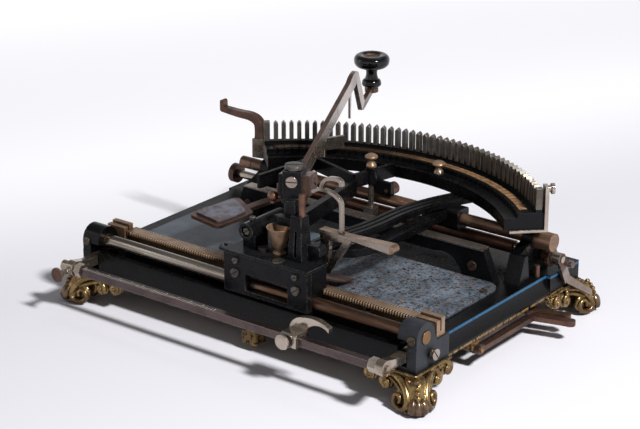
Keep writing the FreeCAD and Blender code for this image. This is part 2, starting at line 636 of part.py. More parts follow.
# ---------------------------------------------------------------- bail
arm_y = d.bail_pivot_pos
arm_z = d.bail_pivot_height
bar_y = d.bail_pivot_pos + d.bail_reach
half_bar = d.bail_bar / 2
arm_low = "base_half_x - corner_width + 1.2"
arm_high = "base_half_x - corner_width + 1.2 + bail_arm"
bar_section = rect(bar_y - half_bar, arm_z - half_bar, bar_y + half_bar, arm_z + half_bar)
bail_bar = body("bail_bar")
add(bail_bar, "x", "-(%s)" % arm_low, arm_low, [bar_section])
arm_side = [
    (arm_y, arm_z - 6.2), (arm_y + 9, arm_z - 4.4), (bar_y - 12, arm_z - 3.6), (bar_y, arm_z - 6.4),
    (bar_y + 6.4, arm_z, bar_y, arm_z + 6.4), (bar_y - 12, arm_z + 3.6), (arm_y + 9, arm_z + 4.4),
    (arm_y, arm_z + 6.2), (arm_y - 6.2, arm_z, arm_y, arm_z - 6.2),
]
for side, sx in (("left", 1), ("right", -1)):
    arm = body("bail_arm_" + side)
    low, high = between(sx, arm_low, arm_high)
    add(arm, "x", low, high, [arm_side])
    cut(arm, "x", low, high, [("circle", arm_y, arm_z, 2.5 + d.running_gap)])


def hexagon(y, z, radius):
    return [(y + radius * math.cos(math.radians(60 * k)), z + radius * math.sin(math.radians(60 * k)))
            for k in range(6)]


fittings = []
for side, sx in (("left", 1), ("right", -1)):
    nut = body("bail_nut_" + side, node=False)
    low, high = between(sx, "base_half_x - corner_width - 6", arm_low)
    add(nut, "x", low, high, [hexagon(bar_y, arm_z, 6.0), bar_section])
    fittings.append(nut)
    end = body("bail_end_" + side, node=False)
    low, high = between(sx, arm_high, "base_half_x - corner_width + %s + bail_arm" % (8.5 if sx > 0 else 2.6))
    add(end, "x", low, high, [("circle", bar_y, arm_z, 4.6 if sx > 0 else 2.4)])
    fittings.append(end)
trumpet = body("bail_thumb_knob", ("base_half_x - corner_width + 4.7", "bail_pivot_pos + bail_reach + 6.4",
                                   "bail_pivot_height"), "-90", (1, 0, 0), node=False)
turned(trumpet, [(0, 0), (3.0, 0), (2.4, 3.5, 3.0, 6.0), (3.8, 10.5, 6.2, 12.0), (6.2, 13.2), (4.6, 12.8), (0, 12.8)])
fittings.append(trumpet)
group("bail_fittings", fittings)

# ---------------------------------------------------------------- margin stop
slack = d.running_gap
stop_x = -d.stop_offset
stop = body("margin_stop")
add(stop, "x", "-stop_offset - 7", "-stop_offset + 7", [[
    (bar_y - half_bar - 3.2, arm_z - half_bar), (bar_y - half_bar - slack, arm_z - half_bar),
    (bar_y - half_bar - slack, arm_z + half_bar + slack), (bar_y + half_bar + slack, arm_z + half_bar + slack),
    (bar_y + half_bar + slack, arm_z - half_bar - 1), (bar_y + half_bar + 3.6, arm_z - half_bar - 1),
    (bar_y + half_bar + 3.6, arm_z + half_bar + 2.2), (bar_y + half_bar + 2.2, arm_z + half_bar + 3.4),
    (bar_y - half_bar - 3.2, arm_z + half_bar + 3.4)]])
beak_z = arm_z + half_bar + 3.4
add(stop, "y", "bail_pivot_pos + bail_reach - 8.5", "bail_pivot_pos + bail_reach - 3.5", [[
    (stop_x + 7, beak_z - 5), (stop_x + 7, beak_z + 1), (stop_x + 2, beak_z + 8, stop_x - 6, beak_z + 11),
    (stop_x - 18, beak_z + 12, stop_x - 30, beak_z + 8), (stop_x - 30, beak_z + 4.5),
    (stop_x - 16, beak_z + 7, stop_x - 7, beak_z - 5)]])
cut(stop, "y", "bail_pivot_pos + bail_reach + 3.3", "bail_pivot_pos + bail_reach + 8",
    [("circle", stop_x + 3.5, arm_z, 1.8 + slack)])
stop_screw = body("stop_thumbscrew", ("-stop_offset + 3.5", "bail_pivot_pos + bail_reach + bail_bar / 2 + 0.1",
                                      "bail_pivot_height"), "-90", (1, 0, 0))
turned(stop_screw, [(0, 0), (1.8, 0), (1.8, 3.8), (3.0, 4.6), (6.0, 5.4), (6.4, 6.4), (6.0, 7.6), (3.4, 8.2), (0, 8.2)])

# ---------------------------------------------------------------- keys
key_rows = (
    ("key_space", "-(base_half_x + 2)", "-(base_half_x - 3)",
     [(-(d.base_half_x - 0.5), wing_end + 18.5), (-(d.base_half_x + 28.5), wing_end + 10.5)]),
    ("key_shift", "-(base_half_x - 10)", "-(base_half_x - 14)",
     [(-(d.base_half_x - 12), wing_end + 10), (-(d.base_half_x + 19), wing_end + 1.5)]),
)
key_above = d.key_bottom + d.key_thick
for label, low, high, finger in key_rows:
    key = body(label)
    elbow = finger[0][1] - 3
    add(key, "x", low, high, [[
        (pin_y, pin_z - 3.6), (pin_y + 3.6, pin_z, pin_y, pin_z + 3.6), (pin_y - 6, key_above),
        (elbow, key_above), (elbow, d.key_bottom), (pin_y - 6, d.key_bottom)]])
    add(key, "z", "key_bottom", "key_bottom + key_thick", [strip(finger, 8.0)])
    add(key, "z", "key_bottom", "key_bottom + key_thick",
        [("circle", finger[1][0], finger[1][1], 4.6)])
    cut(key, "x", low, high, [("circle", pin_y, pin_z, 1.8 + slack)])

# ---------------------------------------------------------------- carriage
centre = -d.carriage_offset
left_x = centre + d.carriage_half
right_x = centre - d.carriage_half
face_back = d.rail_pos + d.rail_radius + 0.45
face_front = face_back + d.plate_thick
block_back = d.rail_pos - 12.8
block_low = d.plate_bottom + 14.0
deck = d.plate_top + 2.5
far_side = "-carriage_offset - carriage_half"
near_side = "-carriage_offset + carriage_half"
rail_bore = ("circle", d.rail_pos, d.rail_height, d.rail_radius + slack)
block = body("carriage_block")
add(block, "x", far_side, near_side, [rect(block_back, block_low, face_back, d.plate_top)])
bushing_low = d.rail_height - d.rail_radius - 2.4
for low, high in ((far_side, far_side + " + 10"), (near_side + " - 10", near_side)):
    add(block, "x", low, high, [rect(d.rail_pos - 8.8, bushing_low, face_back, block_low)])
cut(block, "x", far_side, near_side, [rail_bore])

plate = body("face_plate")
plate_far, plate_near = "rail_pos + rail_radius + 0.45", "rail_pos + rail_radius + 0.45 + plate_thick"
window_mid = centre - 1.0
add(plate, "y", plate_far, plate_near,
    [rect(right_x, d.plate_bottom, left_x, d.plate_top)])
cut(plate, "y", plate_far, plate_near,
    [round_rect(window_mid - d.window_length / 2, d.plate_bottom + 3.5,
                window_mid + d.window_length / 2, d.plate_bottom + 3.5 + d.window_tall, 1.5)])

top_plate = body("top_plate")
hook = (left_x + 3.0, d.rail_pos + 5.2)
add(top_plate, "z", "plate_top", "plate_top + 2.5", [[
    (right_x - 0.2, face_front + 0.3), (left_x - 2, face_front + 0.3),
    (left_x + 2, face_front - 0.6, hook[0], hook[1] + 5.5), (hook[0] + 3.9, hook[1] + 3.9, hook[0] + 5.5, hook[1]),
    (hook[0] + 3.9, hook[1] - 3.9, hook[0], hook[1] - 5.5), (left_x, hook[1] - 6.5),
    (left_x, d.pivot_pos - 15), (centre - 23, d.pivot_pos - 15), (centre - 23, block_back - 2),
    (right_x - 0.2, block_back - 2)]])
cut(top_plate, "z", "plate_top", "plate_top + 2.5",
    [[(hook[0] - 2.6, hook[1]), (hook[0], hook[1] + 2.6, hook[0] + 2.6, hook[1]),
      (hook[0] + 6, hook[1] - 1.5), (hook[0] + 6, hook[1] - 3.5), (hook[0], hook[1] - 2.6)]])

carriage_screws = []
plate_screw_spots = (
    (left_x - 11.5, 64.6, 3.7), (right_x + 10.9, 64.6, 3.7), (left_x - 12.0, 74.9, 2.5),
    (right_x + 11.5, 75.4, 2.5))
cut(plate, "y", plate_far, plate_near,
    [("circle", x, z, 0.5 * radius) for x, z, radius in plate_screw_spots])
for k, (x, z, radius) in enumerate(plate_screw_spots):
    carriage_screws.append(screw("plate_screw_%d" % k, (str(x), plate_near,
                                                        str(z)), (0, 1, 0), radius, 1.8, 0.5 * radius, 5.0))

plate_studs = ((centre + 13.5, block_back + 9.0, 4.2, 3.0), (right_x + 31.0, face_front - 4.0, 4.6, 1.4))
cut(top_plate, "z", "plate_top", "plate_top + 2.5", [("circle", x, y, 2.0) for x, y, _, _ in plate_studs])
for k, (x, y, radius, high) in enumerate(plate_studs):
    carriage_screws.append(screw("stud_%d" % k, (str(x), str(y), "plate_top + 2.5"), (0, 0, 1), radius, high,
                                 2.0, 2.5))

housing = body("shaft_housing")
housing_x, housing_z, housing_radius = centre + 27.0, deck + 14.0, 6.8
add(housing, "z", "plate_top + 2.5", "plate_top + 14", [rect(housing_x - 6, d.pivot_pos + 7, housing_x + 6, d.pivot_pos + 23)])
add(housing, "y", "pivot_pos - 17", "pivot_pos + 27", [("circle", housing_x, housing_z, housing_radius)])
cut(housing, "y", "pivot_pos + 24", "pivot_pos + 27", [("circle", housing_x, housing_z, housing_radius - 2.4)])
cut(housing, "y", "pivot_pos + 19.9", "pivot_pos + 27", [("circle", housing_x, housing_z, 1.4)])
cut(housing, "z", "plate_top + 15", "plate_top + 25", [("circle", housing_x + 1, d.pivot_pos + 17, 1.2)])
carriage_screws.append(screw("housing_screw", (str(housing_x), "pivot_pos + 24", str(housing_z)), (0, 1, 0),
                             2.9, 2.4, 1.4, 4.0))
carriage_screws.append(screw("oil_screw", (str(housing_x + 1), "pivot_pos + 17", str(housing_z + housing_radius)),
                             (0, 0, 1), 2.4, 2.4, 1.2, 3.0))

guide = body("type_guide", ("-carriage_offset", "pivot_pos + 19", "plate_top + 2.5"))
turned(guide, [(0, 0), (5.2, 0), (5.2, 1.4), (3.4, 2.4), (3.4, 4.0), (4.5, 5.0), (10.0, 22.0), (9.2, 22.0),
               (3.4, 7.0), (0, 7.0)])

pylon = body("pylon")
pylon_mid = centre - 19.7
pylon_far = d.pivot_pos + 11.5
pylon_near = d.pivot_pos + 25.5
add(pylon, "y", "pivot_pos + 12", "pivot_pos + 25", [[
    (pylon_mid - 6.8, deck), (pylon_mid + 6.8, deck), (pylon_mid + 4.8, deck + 36), (pylon_mid - 4.8, deck + 36)]])
cut(pylon, "x", "-carriage_offset - 30", "-carriage_offset - 10",
    [[(pylon_near, deck + 1), (pylon_near, deck + 37), (pylon_near - 2.6, deck + 37)]])
cut(pylon, "x", "-carriage_offset - 30", "-carriage_offset - 10",
    [[(pylon_far, deck + 1), (pylon_far, deck + 37), (pylon_far + 2.6, deck + 37)]])
cut(pylon, "y", "pivot_pos + 11", "pivot_pos + 26", [rect(pylon_mid - 1.4, deck + 3, pylon_mid + 0.8, deck + 24)])
add(pylon, "y", "pivot_pos + 9", "pivot_pos + 17", [round_rect(pylon_mid - 18, deck + 3, pylon_mid - 4, deck + 13, 3)])
add(pylon, "z", "plate_top + 38.5", "plate_top + 56", [("circle", pylon_mid - 2.5, d.pivot_pos + 18.5, 2.6)])
add(pylon, "y", "pivot_pos - 0.5", "pivot_pos + 9", [("circle", pylon_mid - 13.5, deck + 8, 2.2)])
handle_pivot = (pylon_mid - 13.5, deck + 8)

column = body("pivot_column", ("-carriage_offset", "pivot_pos", "0"))
column_top = deck + 37.0
pin_top = column_top + 27.4
turned(column, [(0, deck), (11.0, deck), (11.0, deck + 3), (d.column_radius, deck + 4.5),
                (d.column_radius, column_top), (d.pin_radius, column_top), (d.pin_radius, pin_top), (0, pin_top)])
carriage_screws.append(screw("cap_screw", ("-carriage_offset", "pivot_pos", str(pin_top)), (0, 0, 1),
                             7.4, 3.0, 1.0, 0.1))

carriage_at = ("-carriage_offset", "pivot_pos", "0")
arm_line = bend([(-18.7, -1), (-20, -25), (-28, -59), (-28, 60 - d.ring_inner), (-37, 24 - d.ring_inner),
                 (-50, -5 - d.ring_inner)], 3)
ribbed_arm = body("ribbed_arm", carriage_at)
add(ribbed_arm, "z", "plate_top + 2.5", "ring_bottom - 1.6", [ribbon(arm_line, 15.0)])
for side in (-1, 0, 1):
    rib_line = strip(arm_line, 10.8)
    if side == 0:
        rib_line = arm_line
    elif side > 0:
        rib_line = rib_line[:len(arm_line)]
    else:
        rib_line = rib_line[:len(arm_line) - 1:-1]
    add(ribbed_arm, "z", "ring_bottom - 1.7", "ring_bottom", [ribbon(rib_line, 3.4)])

rail_y = guide_y - d.pivot_pos
slide_line = bend([(-17, 5), (-18, -19), (-41, -37), (-41.5, rail_y + 52), (-41.5, rail_y + 6)], 2)
slide_arm = body("slide_arm", carriage_at)
add(slide_arm, "z", "guide_rail_height", "plate_top", [ribbon(slide_line, 12.0)])
add(slide_arm, "x", "-58", "-32",
    [round_rect(rail_y - 8.3, d.guide_rail_height - 8.5, rail_y + 8.3, d.guide_rail_height + 9, 3)])
cut(slide_arm, "x", "-58", "-32", [("circle", rail_y, d.guide_rail_height, d.guide_rail_radius + slack)])

bed_top = d.deck_top + d.bed_thick
finger = body("paper_finger", carriage_at)
add(finger, "x", "-29", "-5", [strip(
    [(19, block_low - 0.75), (9, block_low - 0.75), (-5, bed_top + 13.2), (-27, bed_top + 4.4),
     (-39, bed_top + 2.6)], 1.5)])

# ---------------------------------------------------------------- index ring and comb
half = d.ring_half_angle
ring = body("index_ring", carriage_at, "-fin_pitch * (fin_count - 1) / 2")
lean = d.fin_pitch * (d.fin_count - 1) / 2
add(ring, "z", "ring_bottom", "ring_top", [arc_band(d.ring_inner, d.ring_outer, lean - half, lean + half)])
step_inner = d.ring_inner + 11.0
add(ring, "z", "ring_top", "ring_step", [arc_band(step_inner, d.ring_outer, lean - half, lean + half)])
notch = cut(ring, "z", "ring_top", "ring_step", [rect(-0.8, -step_inner - 2.0, 0.8, -step_inner + 1.0)])
polar(ring, notch, "fin_count", "fin_pitch * (fin_count - 1)")

comb_in = d.comb_radius - d.fin_depth / 2
comb_out = d.comb_radius + d.fin_depth / 2
add(ring, "z", "ring_step - 0.1", "ring_step + 2.5", [arc_band(comb_in, comb_out, lean - half, lean + half)])

comb = body("comb", carriage_at, "-fin_pitch * (fin_count - 1) / 2")
comb.AllowCompound = True
shoulder = d.comb_top - 0.6 * d.fin_width
fin = add(comb, "y", "-comb_radius - fin_depth / 2", "-comb_radius + fin_depth / 2", [[
    (-d.fin_width / 2, d.ring_step + 2.5), (d.fin_width / 2, d.ring_step + 2.5), (d.fin_width / 2, shoulder),
    (0, d.comb_top), (-d.fin_width / 2, shoulder)]])
polar(comb, fin, "fin_count", "fin_pitch * (fin_count - 1)")
for start in (lean - half, lean + half - 1.5):
    add(comb, "z", "ring_step + 2.5", "comb_top", [arc_band(comb_in, comb_out, start, start + 1.5)])

index_strip = body("index_strip", carriage_at)
add(index_strip, "z", "ring_step", "ring_step + 0.6",
    [arc_band(d.ring_inner + 13.5, d.ring_inner + 20.0, -half + 2.4, half - 2.4)])

brace = body("ring_brace", carriage_at)
brace_low, brace_high = "ring_bottom", "ring_bottom + 12"
brace_start = (95, -72)
brace_corner = (87, rail_y + 12)
brace_fork = (33, rail_y + 28)
post_spot = (28.2, rail_y + 10)
for line in ([brace_start, brace_corner, (89, 2 - d.ring_inner)],
             [brace_corner, brace_fork], [brace_fork, (19, -19 - d.ring_inner)]):
    add(brace, "z", brace_low, brace_high, [strip(line, 3.4)])
add(brace, "z", "plate_top + 2.5", "ring_bottom + 7",
    [strip([(brace_fork[0] + 0.5, brace_fork[1] - 1), (15, -9)], 6.0)])
add(brace, "z", brace_low, "ring_bottom + 14", [("circle",) + post_spot + (4.6,)])
lug_low, lug_high = "4.5 - guide_rail_pos - pivot_pos", "8.5 - guide_rail_pos - pivot_pos"
add(brace, "y", lug_low, lug_high, [rect(9, d.plate_top, 29, d.ring_bottom + 3)])
cut(brace, "z", "ring_bottom - 1", "ring_bottom + 13", [arc_band(d.ring_inner, d.ring_inner + 40, 2, 50)])
wheel_x = 14
wheel_radius = 5.2
wheel_z = d.guide_rail_height + d.guide_rail_radius + 0.1 + wheel_radius
cut(brace, "y", lug_low, lug_high, [("circle", wheel_x, wheel_z, 1.6 + slack)])
cut(brace, "z", "plate_top - 1", "ring_bottom + 14", [("circle",) + post_spot + (2.4,)])

wheel = body("guide_wheel", ("-carriage_offset + %s" % wheel_x, "0", str(wheel_z)))
add(wheel, "y", "-guide_rail_pos - 4", "-guide_rail_pos + 4", [("circle", 0, 0, wheel_radius)])
add(wheel, "y", "-guide_rail_pos + 4", "-guide_rail_pos + 8.5", [("circle", 0, 0, 1.6)])

horn = body("horn", carriage_at)
root_x, root_y = d.ring_outer - 44, 53 - d.ring_outer
root_z = d.ring_bottom + 14
add(horn, "z", "ring_bottom - 2", "ring_bottom + 15", [[
    around(d.ring_outer, half - 2.2), around(d.ring_outer, half - 1.1) + around(d.ring_outer, half),
    (root_x, root_y + 10), (root_x, root_y), (root_x - 11, root_y)]])
horn_line = bend([(root_x - 5.5, root_z), (root_x - 5.5, root_z + 8), (root_x - 4, root_z + 16),
                  (root_x + 4, root_z + 19.5), (root_x + 18, root_z + 19), (root_x + 36, root_z + 20)], 3)
for shape in (ribbon(horn_line, 10.0, 4.6),
              round_rect(root_x + 34.2, root_z + 17.7, root_x + 38.2, root_z + 28.5, 1.8)):
    add(horn, "y", str(root_y + 1.5), str(root_y + 7.5), [shape])

bracket_end = body("end_bracket", carriage_at, "-ring_half_angle + 0.9")
out = d.ring_outer
add(bracket_end, "y", "-ring_outer - 3", "-ring_outer", [round_rect(-5, d.ring_bottom - 2, 5, d.comb_top + 2, 1.5)])
add(bracket_end, "z", "ring_bottom - 2", "ring_bottom", [rect(-5, -out - 3, 5, -d.ring_inner - 4)])
add(bracket_end, "y", "-ring_outer - 5.5", "-ring_outer - 3", [("circle", 0, d.comb_top - 1, 2.8)])
add(bracket_end, "y", "-ring_outer - 8", "-ring_outer - 5.5", [("circle", 0, d.comb_top - 1, 4.4)])

tray = body("ink_tray", carriage_at)
tray_corners = [(125, -17), (87, -10), (84, -52), (119, -74)]
hang_y = brace_start[1] + (brace_corner[1] - brace_start[1]) * 5 / 13
add(tray, "z", "plate_top - 7.5", "plate_top - 4.5", [rounded(tray_corners, 5.0)])
add(tray, "z", "plate_top - 7.5", "plate_top - 4.5", [strip([(97, -59), (92, hang_y - 2)], 8.0)])
add(tray, "z", "plate_top - 4.6", "ring_bottom", [("circle", 92, hang_y, 3.0)])
pad = body("ink_pad", carriage_at)
pad_corners = [(120, -20.5), (91, -15), (89.5, -48.5), (116, -65)]
add(pad, "z", "plate_top - 4.5", "plate_top - 2.5", [rounded(pad_corners, 3.0)])


def thumb_nut(name, at):
    """A turned nut with a waist and a flat knurled head."""
    nut = body(name, at, node=False)
    turned(nut, [(0, 0), (3.4, 0), (4.4, 1.4, 4.0, 3.0), (3.2, 4.4, 2.6, 5.0), (2.4, 6.6), (4.6, 8.4),
                 (5.6, 9.4, 5.0, 10.6), (3.0, 12.0), (0, 12.0)])
    return nut


post = body("guide_post", ("28.2 - carriage_offset", "10 - guide_rail_pos", "0"), node=False)
foot_low, foot_high = "guide_rail_height - 13", "guide_rail_height - 5"
add(post, "z", foot_low, "ring_bottom + 14", [("circle", 0, 0, 2.4)])
add(post, "z", foot_low, foot_high, [round_rect(-5, -4.4, 5, 5.4, 1)])
cut(post, "z", foot_low, foot_high, [rect(-1.2, -6, 1.2, -2.8)])
stud = body("brace_stud", ("82 - carriage_offset", "8 - guide_rail_pos", "0"), node=False)
add(stud, "z", "ring_bottom + 12", "ring_bottom + 26", [("circle", 0, 0, 3.8)])
add(stud, "z", "ring_bottom + 17", "ring_bottom + 28", [strip([(-1, -2), (-9.5, -18.5)], 2.2)])
group("ring_posts", [
    post, thumb_nut("guide_nut", ("28.2 - carriage_offset", "10 - guide_rail_pos", "ring_bottom + 14")),
    thumb_nut("ring_nut", ("-carriage_offset - 20", "pivot_pos - ring_inner - 3", "ring_top")), stud])
group("carriage_screws", carriage_screws)

# ---------------------------------------------------------------- release handle
handle = body("release_frame", node=False)
hx, hz = handle_pivot
handle_low, handle_high = "pivot_pos + 1.2", "pivot_pos + 4.8"
add(handle, "y", handle_low, handle_high, [[
    (hx + 4.8, hz + 10), (hx + 1.5, hz - 16), (hx - 2, hz - 20.5, hx - 6.5, hz - 17),
    (hx - 25, hz + 11), (hx - 24, hz + 13), (hx + 4, hz + 13)]])
cut(handle, "y", handle_low, handle_high,
    [[(hx - 4.4, hz + 7), (hx - 4.0, hz - 11), (hx - 17, hz + 8.5)]])
add(handle, "y", handle_low, handle_high, [("circle", hx, hz, 4.6)])
cut(handle, "y", handle_low, handle_high, [("circle", hx, hz, 2.2 + slack)])
link_line = bend([(hx - 15, hz + 12), (hx - 15, hz + 30), (hx - 14.5, hz + 43), (hx + 3, hz + 48), (hx + 13, hz + 43)], 2)
add(handle, "y", handle_low, handle_high, [ribbon(link_line, 2.6)])
beak_line = bend([(hx + 5, hz + 46), (hx + 2, hz + 54), (hx - 4, hz + 57.5), (hx - 14, hz + 58), (hx - 15, hz + 53)], 2)
add(handle, "y", handle_low, handle_high, [ribbon(beak_line, 3.0)])
grip = body("release_grip", node=False)
add(grip, "y", "pivot_pos - 1", "pivot_pos + 7", [[
    (hx + 4, hz + 13), (hx - 24, hz + 13), (hx - 50, hz + 11.4), (hx - 62, hz + 10.6),
    (hx - 66, hz + 14, hx - 62, hz + 17.4), (hx - 50, hz + 16.8), (hx - 24, hz + 15.4), (hx + 4, hz + 15.4)]])
cut(grip, "z", "plate_top + 20", "plate_top + 30",
    [rect(hx - 17.5, d.pivot_pos + 1.2, hx - 12.5, d.pivot_pos + 4.8)])
group("release_handle", [handle, grip])

# ---------------------------------------------------------------- swinging head
head_turn = "lever_heading - 90"
head = body("swing_head", carriage_at, head_turn)
head_low = column_top + 0.4
add(head, "z", str(head_low), str(pin_top - 0.4), [rect(-7.5, -7.5, 7.5, 7.5)])
cheek = [
    (-6.0, d.press_height - 6), (d.press_offset, d.press_height - 8),
    (d.press_offset + 8, d.press_height, d.press_offset, d.press_height + 8), (-6.0, d.press_height + 11)]
for low, high in (("-13.5", "-7.4"), ("7.4", "11")):
    add(head, "y", low, high, [cheek])
add(head, "y", "-14.5", "12", [("circle", d.press_offset, d.press_height, 2.4)])
add(head, "z", str(head_low), str(head_low + 5), [("circle", 0, 0, 10.2)])
cut(head, "z", str(head_low), str(pin_top - 0.4), [("circle", 0, 0, d.pin_radius + slack)])
head_screw = body("head_screw", carriage_at, head_turn, node=False)
add(head_screw, "x", "-9.4", "-7.5", [("circle", 0, d.press_height + 6, 4.6)])
cut(head_screw, "x", "-9.4", "-8.6", [rect(-5, d.press_height + 5.6, 5, d.press_height + 6.4)])
ball_reach = 17.0
ball = body("link_ball", (
    "-carriage_offset + %s * cos(lever_heading * 1 deg)" % ball_reach,
    "pivot_pos + %s * sin(lever_heading * 1 deg)" % ball_reach, str(head_low + 3)), node=False)
turned(ball, [(0, -5.5), (2.2, -5.5), (2.2, -3.6), (4.3, 0, 2.2, 3.7), (0.9, 4.25), (0, 4.25)])
ball_stem = body("link_stem", carriage_at, head_turn, node=False)
add(ball_stem, "y", "10.25", "%s - 4.4" % ball_reach, [("circle", 0, head_low + 3, 1.9)])
group("head_fittings", [head_screw, ball_stem, ball])

sector = body("type_sector", carriage_at, head_turn)
sector_low = deck + 23.0
add(sector, "z", str(sector_low), str(sector_low + 7), [arc_band(12.6, 18.0, 225, 315)])
add(sector, "z", str(sector_low + 6.9), str(head_low), [rect(-13.8, -3.5, -9.9, 3.5)])
add(sector, "z", str(head_low), str(head_low + 5), [[
    (-14.2, -3.5), (-9.5, -3.5), (-10.2, 0, -9.5, 3.5), (-14.2, 3.5)]])

# ---------------------------------------------------------------- lever and knob
lever = body("swing_lever", carriage_at, head_turn)
root_top = d.press_height + 6.5
add(lever, "y", "-lever_thick / 2", "lever_thick / 2", [[
    (d.press_offset + 1, d.press_height - 4.5), (d.press_offset + 6, root_top - d.lever_deep),
    (d.lever_reach - 2, d.lever_top - d.lever_deep + 1), (d.lever_reach, d.lever_top),
    (d.lever_reach - 14, d.lever_top + 0.2, d.lever_reach - 26, d.lever_top - 3.2), (d.press_offset + 1, root_top)]])
add(lever, "y", "-7.0", "7.0", [("circle", d.press_offset, d.press_height, 4.9)])
cut(lever, "y", "-7.0", "7.0", [("circle", d.press_offset, d.press_height, 2.4 + slack)])


def underside(reach):
    """Height of the lever's lower edge at a distance from the pivot."""
    start, end = d.press_offset + 6, d.lever_reach - 2
    share = (reach - start) / (end - start)
    return root_top - d.lever_deep + share * (d.lever_top + 1 - root_top)


fold = (d.lever_reach + 27.0, d.knob_bottom - 9.0)
knob_arm = body("knob_arm", carriage_at, head_turn)
reach, tip = d.lever_reach, d.lever_top
add(knob_arm, "y", "-lever_thick / 2", "lever_thick / 2", [[
    (reach - 1.6, tip - 9.2), (reach, tip), (reach + 7, tip - 3), (fold[0] + 5.5, fold[1] + 6.5),
    (d.knob_reach - 9, d.knob_bottom - 0.5), (d.knob_reach + 6.2, d.knob_bottom - 0.5),
    (d.knob_reach + 6.2, d.knob_bottom - 4.5), (fold[0] + 3, fold[1] - 0.5), (fold[0] - 4, fold[1] + 1)]])
add(knob_arm, "z", "knob_bottom - 5", "knob_bottom", [("circle", d.knob_reach, 0, 6.2)])

knob = body("knob", (
    "-carriage_offset + knob_reach * sin(lever_heading * 1 deg)",
    "pivot_pos - knob_reach * cos(lever_heading * 1 deg)", "knob_bottom"))
wide, tall = d.knob_radius, d.knob_tall
turned(knob, [
    (0, 0), (0.4 * wide, 0), (0.54 * wide, 0.05 * tall, 0.54 * wide, 0.12 * tall),
    (0.49 * wide, 0.2 * tall, 0.39 * wide, 0.24 * tall), (0.32 * wide, 0.36 * tall, 0.35 * wide, 0.54 * tall),
    (0.5 * wide, 0.61 * tall), (0.93 * wide, 0.68 * tall, wide, 0.81 * tall),
    (0.93 * wide, 0.95 * tall, 0.68 * wide, tall), (0.5 * wide, 0.98 * tall, 0.4 * wide, 0.92 * tall),
    (0, 0.92 * tall)])

blade = body("pointer_blade", carriage_at, head_turn)
add(blade, "y", "-0.8", "0.8", [[
    (d.comb_radius - 2.2, d.comb_top + 4.2), (d.comb_radius + 1.2, d.comb_top + 3.0),
    (d.comb_radius + 3.0, underside(d.comb_radius + 3.0)),
    (d.comb_radius - 3.0, underside(d.comb_radius - 3.0))]])

# ---------------------------------------------------------------- checks and export
doc.recompute()
for item in doc.Objects:
    if {"Invalid", "Error"} & set(item.State):
        raise RuntimeError("%s: %s" % (item.Name, item.State))
for before, pocket in cuts:
    if pocket.Shape.Volume > before.Shape.Volume - 0.05:
        raise RuntimeError("%s removes nothing" % pocket.Name)
for item in nodes:
    if item.Shape.isNull() or not item.Shape.isValid():
        raise RuntimeError("%s has a bad shape" % item.Label)
    item.Shape.exportStep("parts/%s.step" % item.Label)
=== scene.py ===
import json
import math

import bpy
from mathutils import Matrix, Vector


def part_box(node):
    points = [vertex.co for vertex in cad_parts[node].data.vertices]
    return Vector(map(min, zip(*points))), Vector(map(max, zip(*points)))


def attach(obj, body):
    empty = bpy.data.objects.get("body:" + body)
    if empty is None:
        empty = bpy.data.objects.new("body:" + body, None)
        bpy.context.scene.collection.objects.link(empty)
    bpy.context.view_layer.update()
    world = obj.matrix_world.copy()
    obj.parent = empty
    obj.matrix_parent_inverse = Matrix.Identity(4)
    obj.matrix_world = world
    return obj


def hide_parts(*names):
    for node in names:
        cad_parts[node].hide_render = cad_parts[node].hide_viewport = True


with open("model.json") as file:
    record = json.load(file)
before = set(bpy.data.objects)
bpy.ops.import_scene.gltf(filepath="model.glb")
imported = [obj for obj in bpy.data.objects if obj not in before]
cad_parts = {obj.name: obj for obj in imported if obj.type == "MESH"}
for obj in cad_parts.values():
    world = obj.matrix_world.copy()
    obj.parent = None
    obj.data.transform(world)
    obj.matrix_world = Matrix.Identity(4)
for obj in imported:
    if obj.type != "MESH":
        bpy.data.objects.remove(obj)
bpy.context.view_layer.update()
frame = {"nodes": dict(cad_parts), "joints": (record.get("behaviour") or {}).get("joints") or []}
scene = bpy.context.scene
nodes = frame["nodes"]
MM = 0.001
UP = Vector((0, 0, 1))
LETTER_SPACE = 2.5    # mm, one tooth of the rack and one mark of the bail's scale

# A point in mm on the axis that the head turns about and the comb is centred on.
swing = next(joint for joint in frame["joints"] if joint["name"] == "head_swing")
PIVOT = Vector((swing["pos_m"][0], swing["pos_m"][1], 0)) / MM


def box_mm(node):
    """(lowest corner, highest corner) of a CAD node, in mm."""
    low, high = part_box(node)
    return low / MM, high / MM


# ---------------------------------------------------------------- camera
AZIMUTH, ELEVATION = math.radians(217.645), math.radians(20.856)
CAMERA_PLACE = (-0.9244, 1.2107, 0.6597)
LENS, SENSOR = 112.5, 36.0

back = Vector((math.sin(AZIMUTH) * math.cos(ELEVATION), -math.cos(AZIMUTH) * math.cos(ELEVATION),
               math.sin(ELEVATION)))
camera = bpy.data.objects.new("camera", bpy.data.cameras.new("camera"))
scene.collection.objects.link(camera)
camera.location = CAMERA_PLACE
camera.rotation_mode = "QUATERNION"
camera.rotation_quaternion = (-back).to_track_quat("-Z", "Y")
camera.data.lens = LENS
camera.data.sensor_width = SENSOR
camera.data.clip_start, camera.data.clip_end = 0.05, 50.0
scene.camera = camera


# ---------------------------------------------------------------- node trees
def rgb(text):
    """A colour given as an sRGB hex string, as linear values."""
    values = [int(text[k:k + 2], 16) / 255 for k in (0, 2, 4)]
    return tuple(v / 12.92 if v <= 0.04045 else ((v + 0.055) / 1.055) ** 2.4 for v in values) + (1.0,)


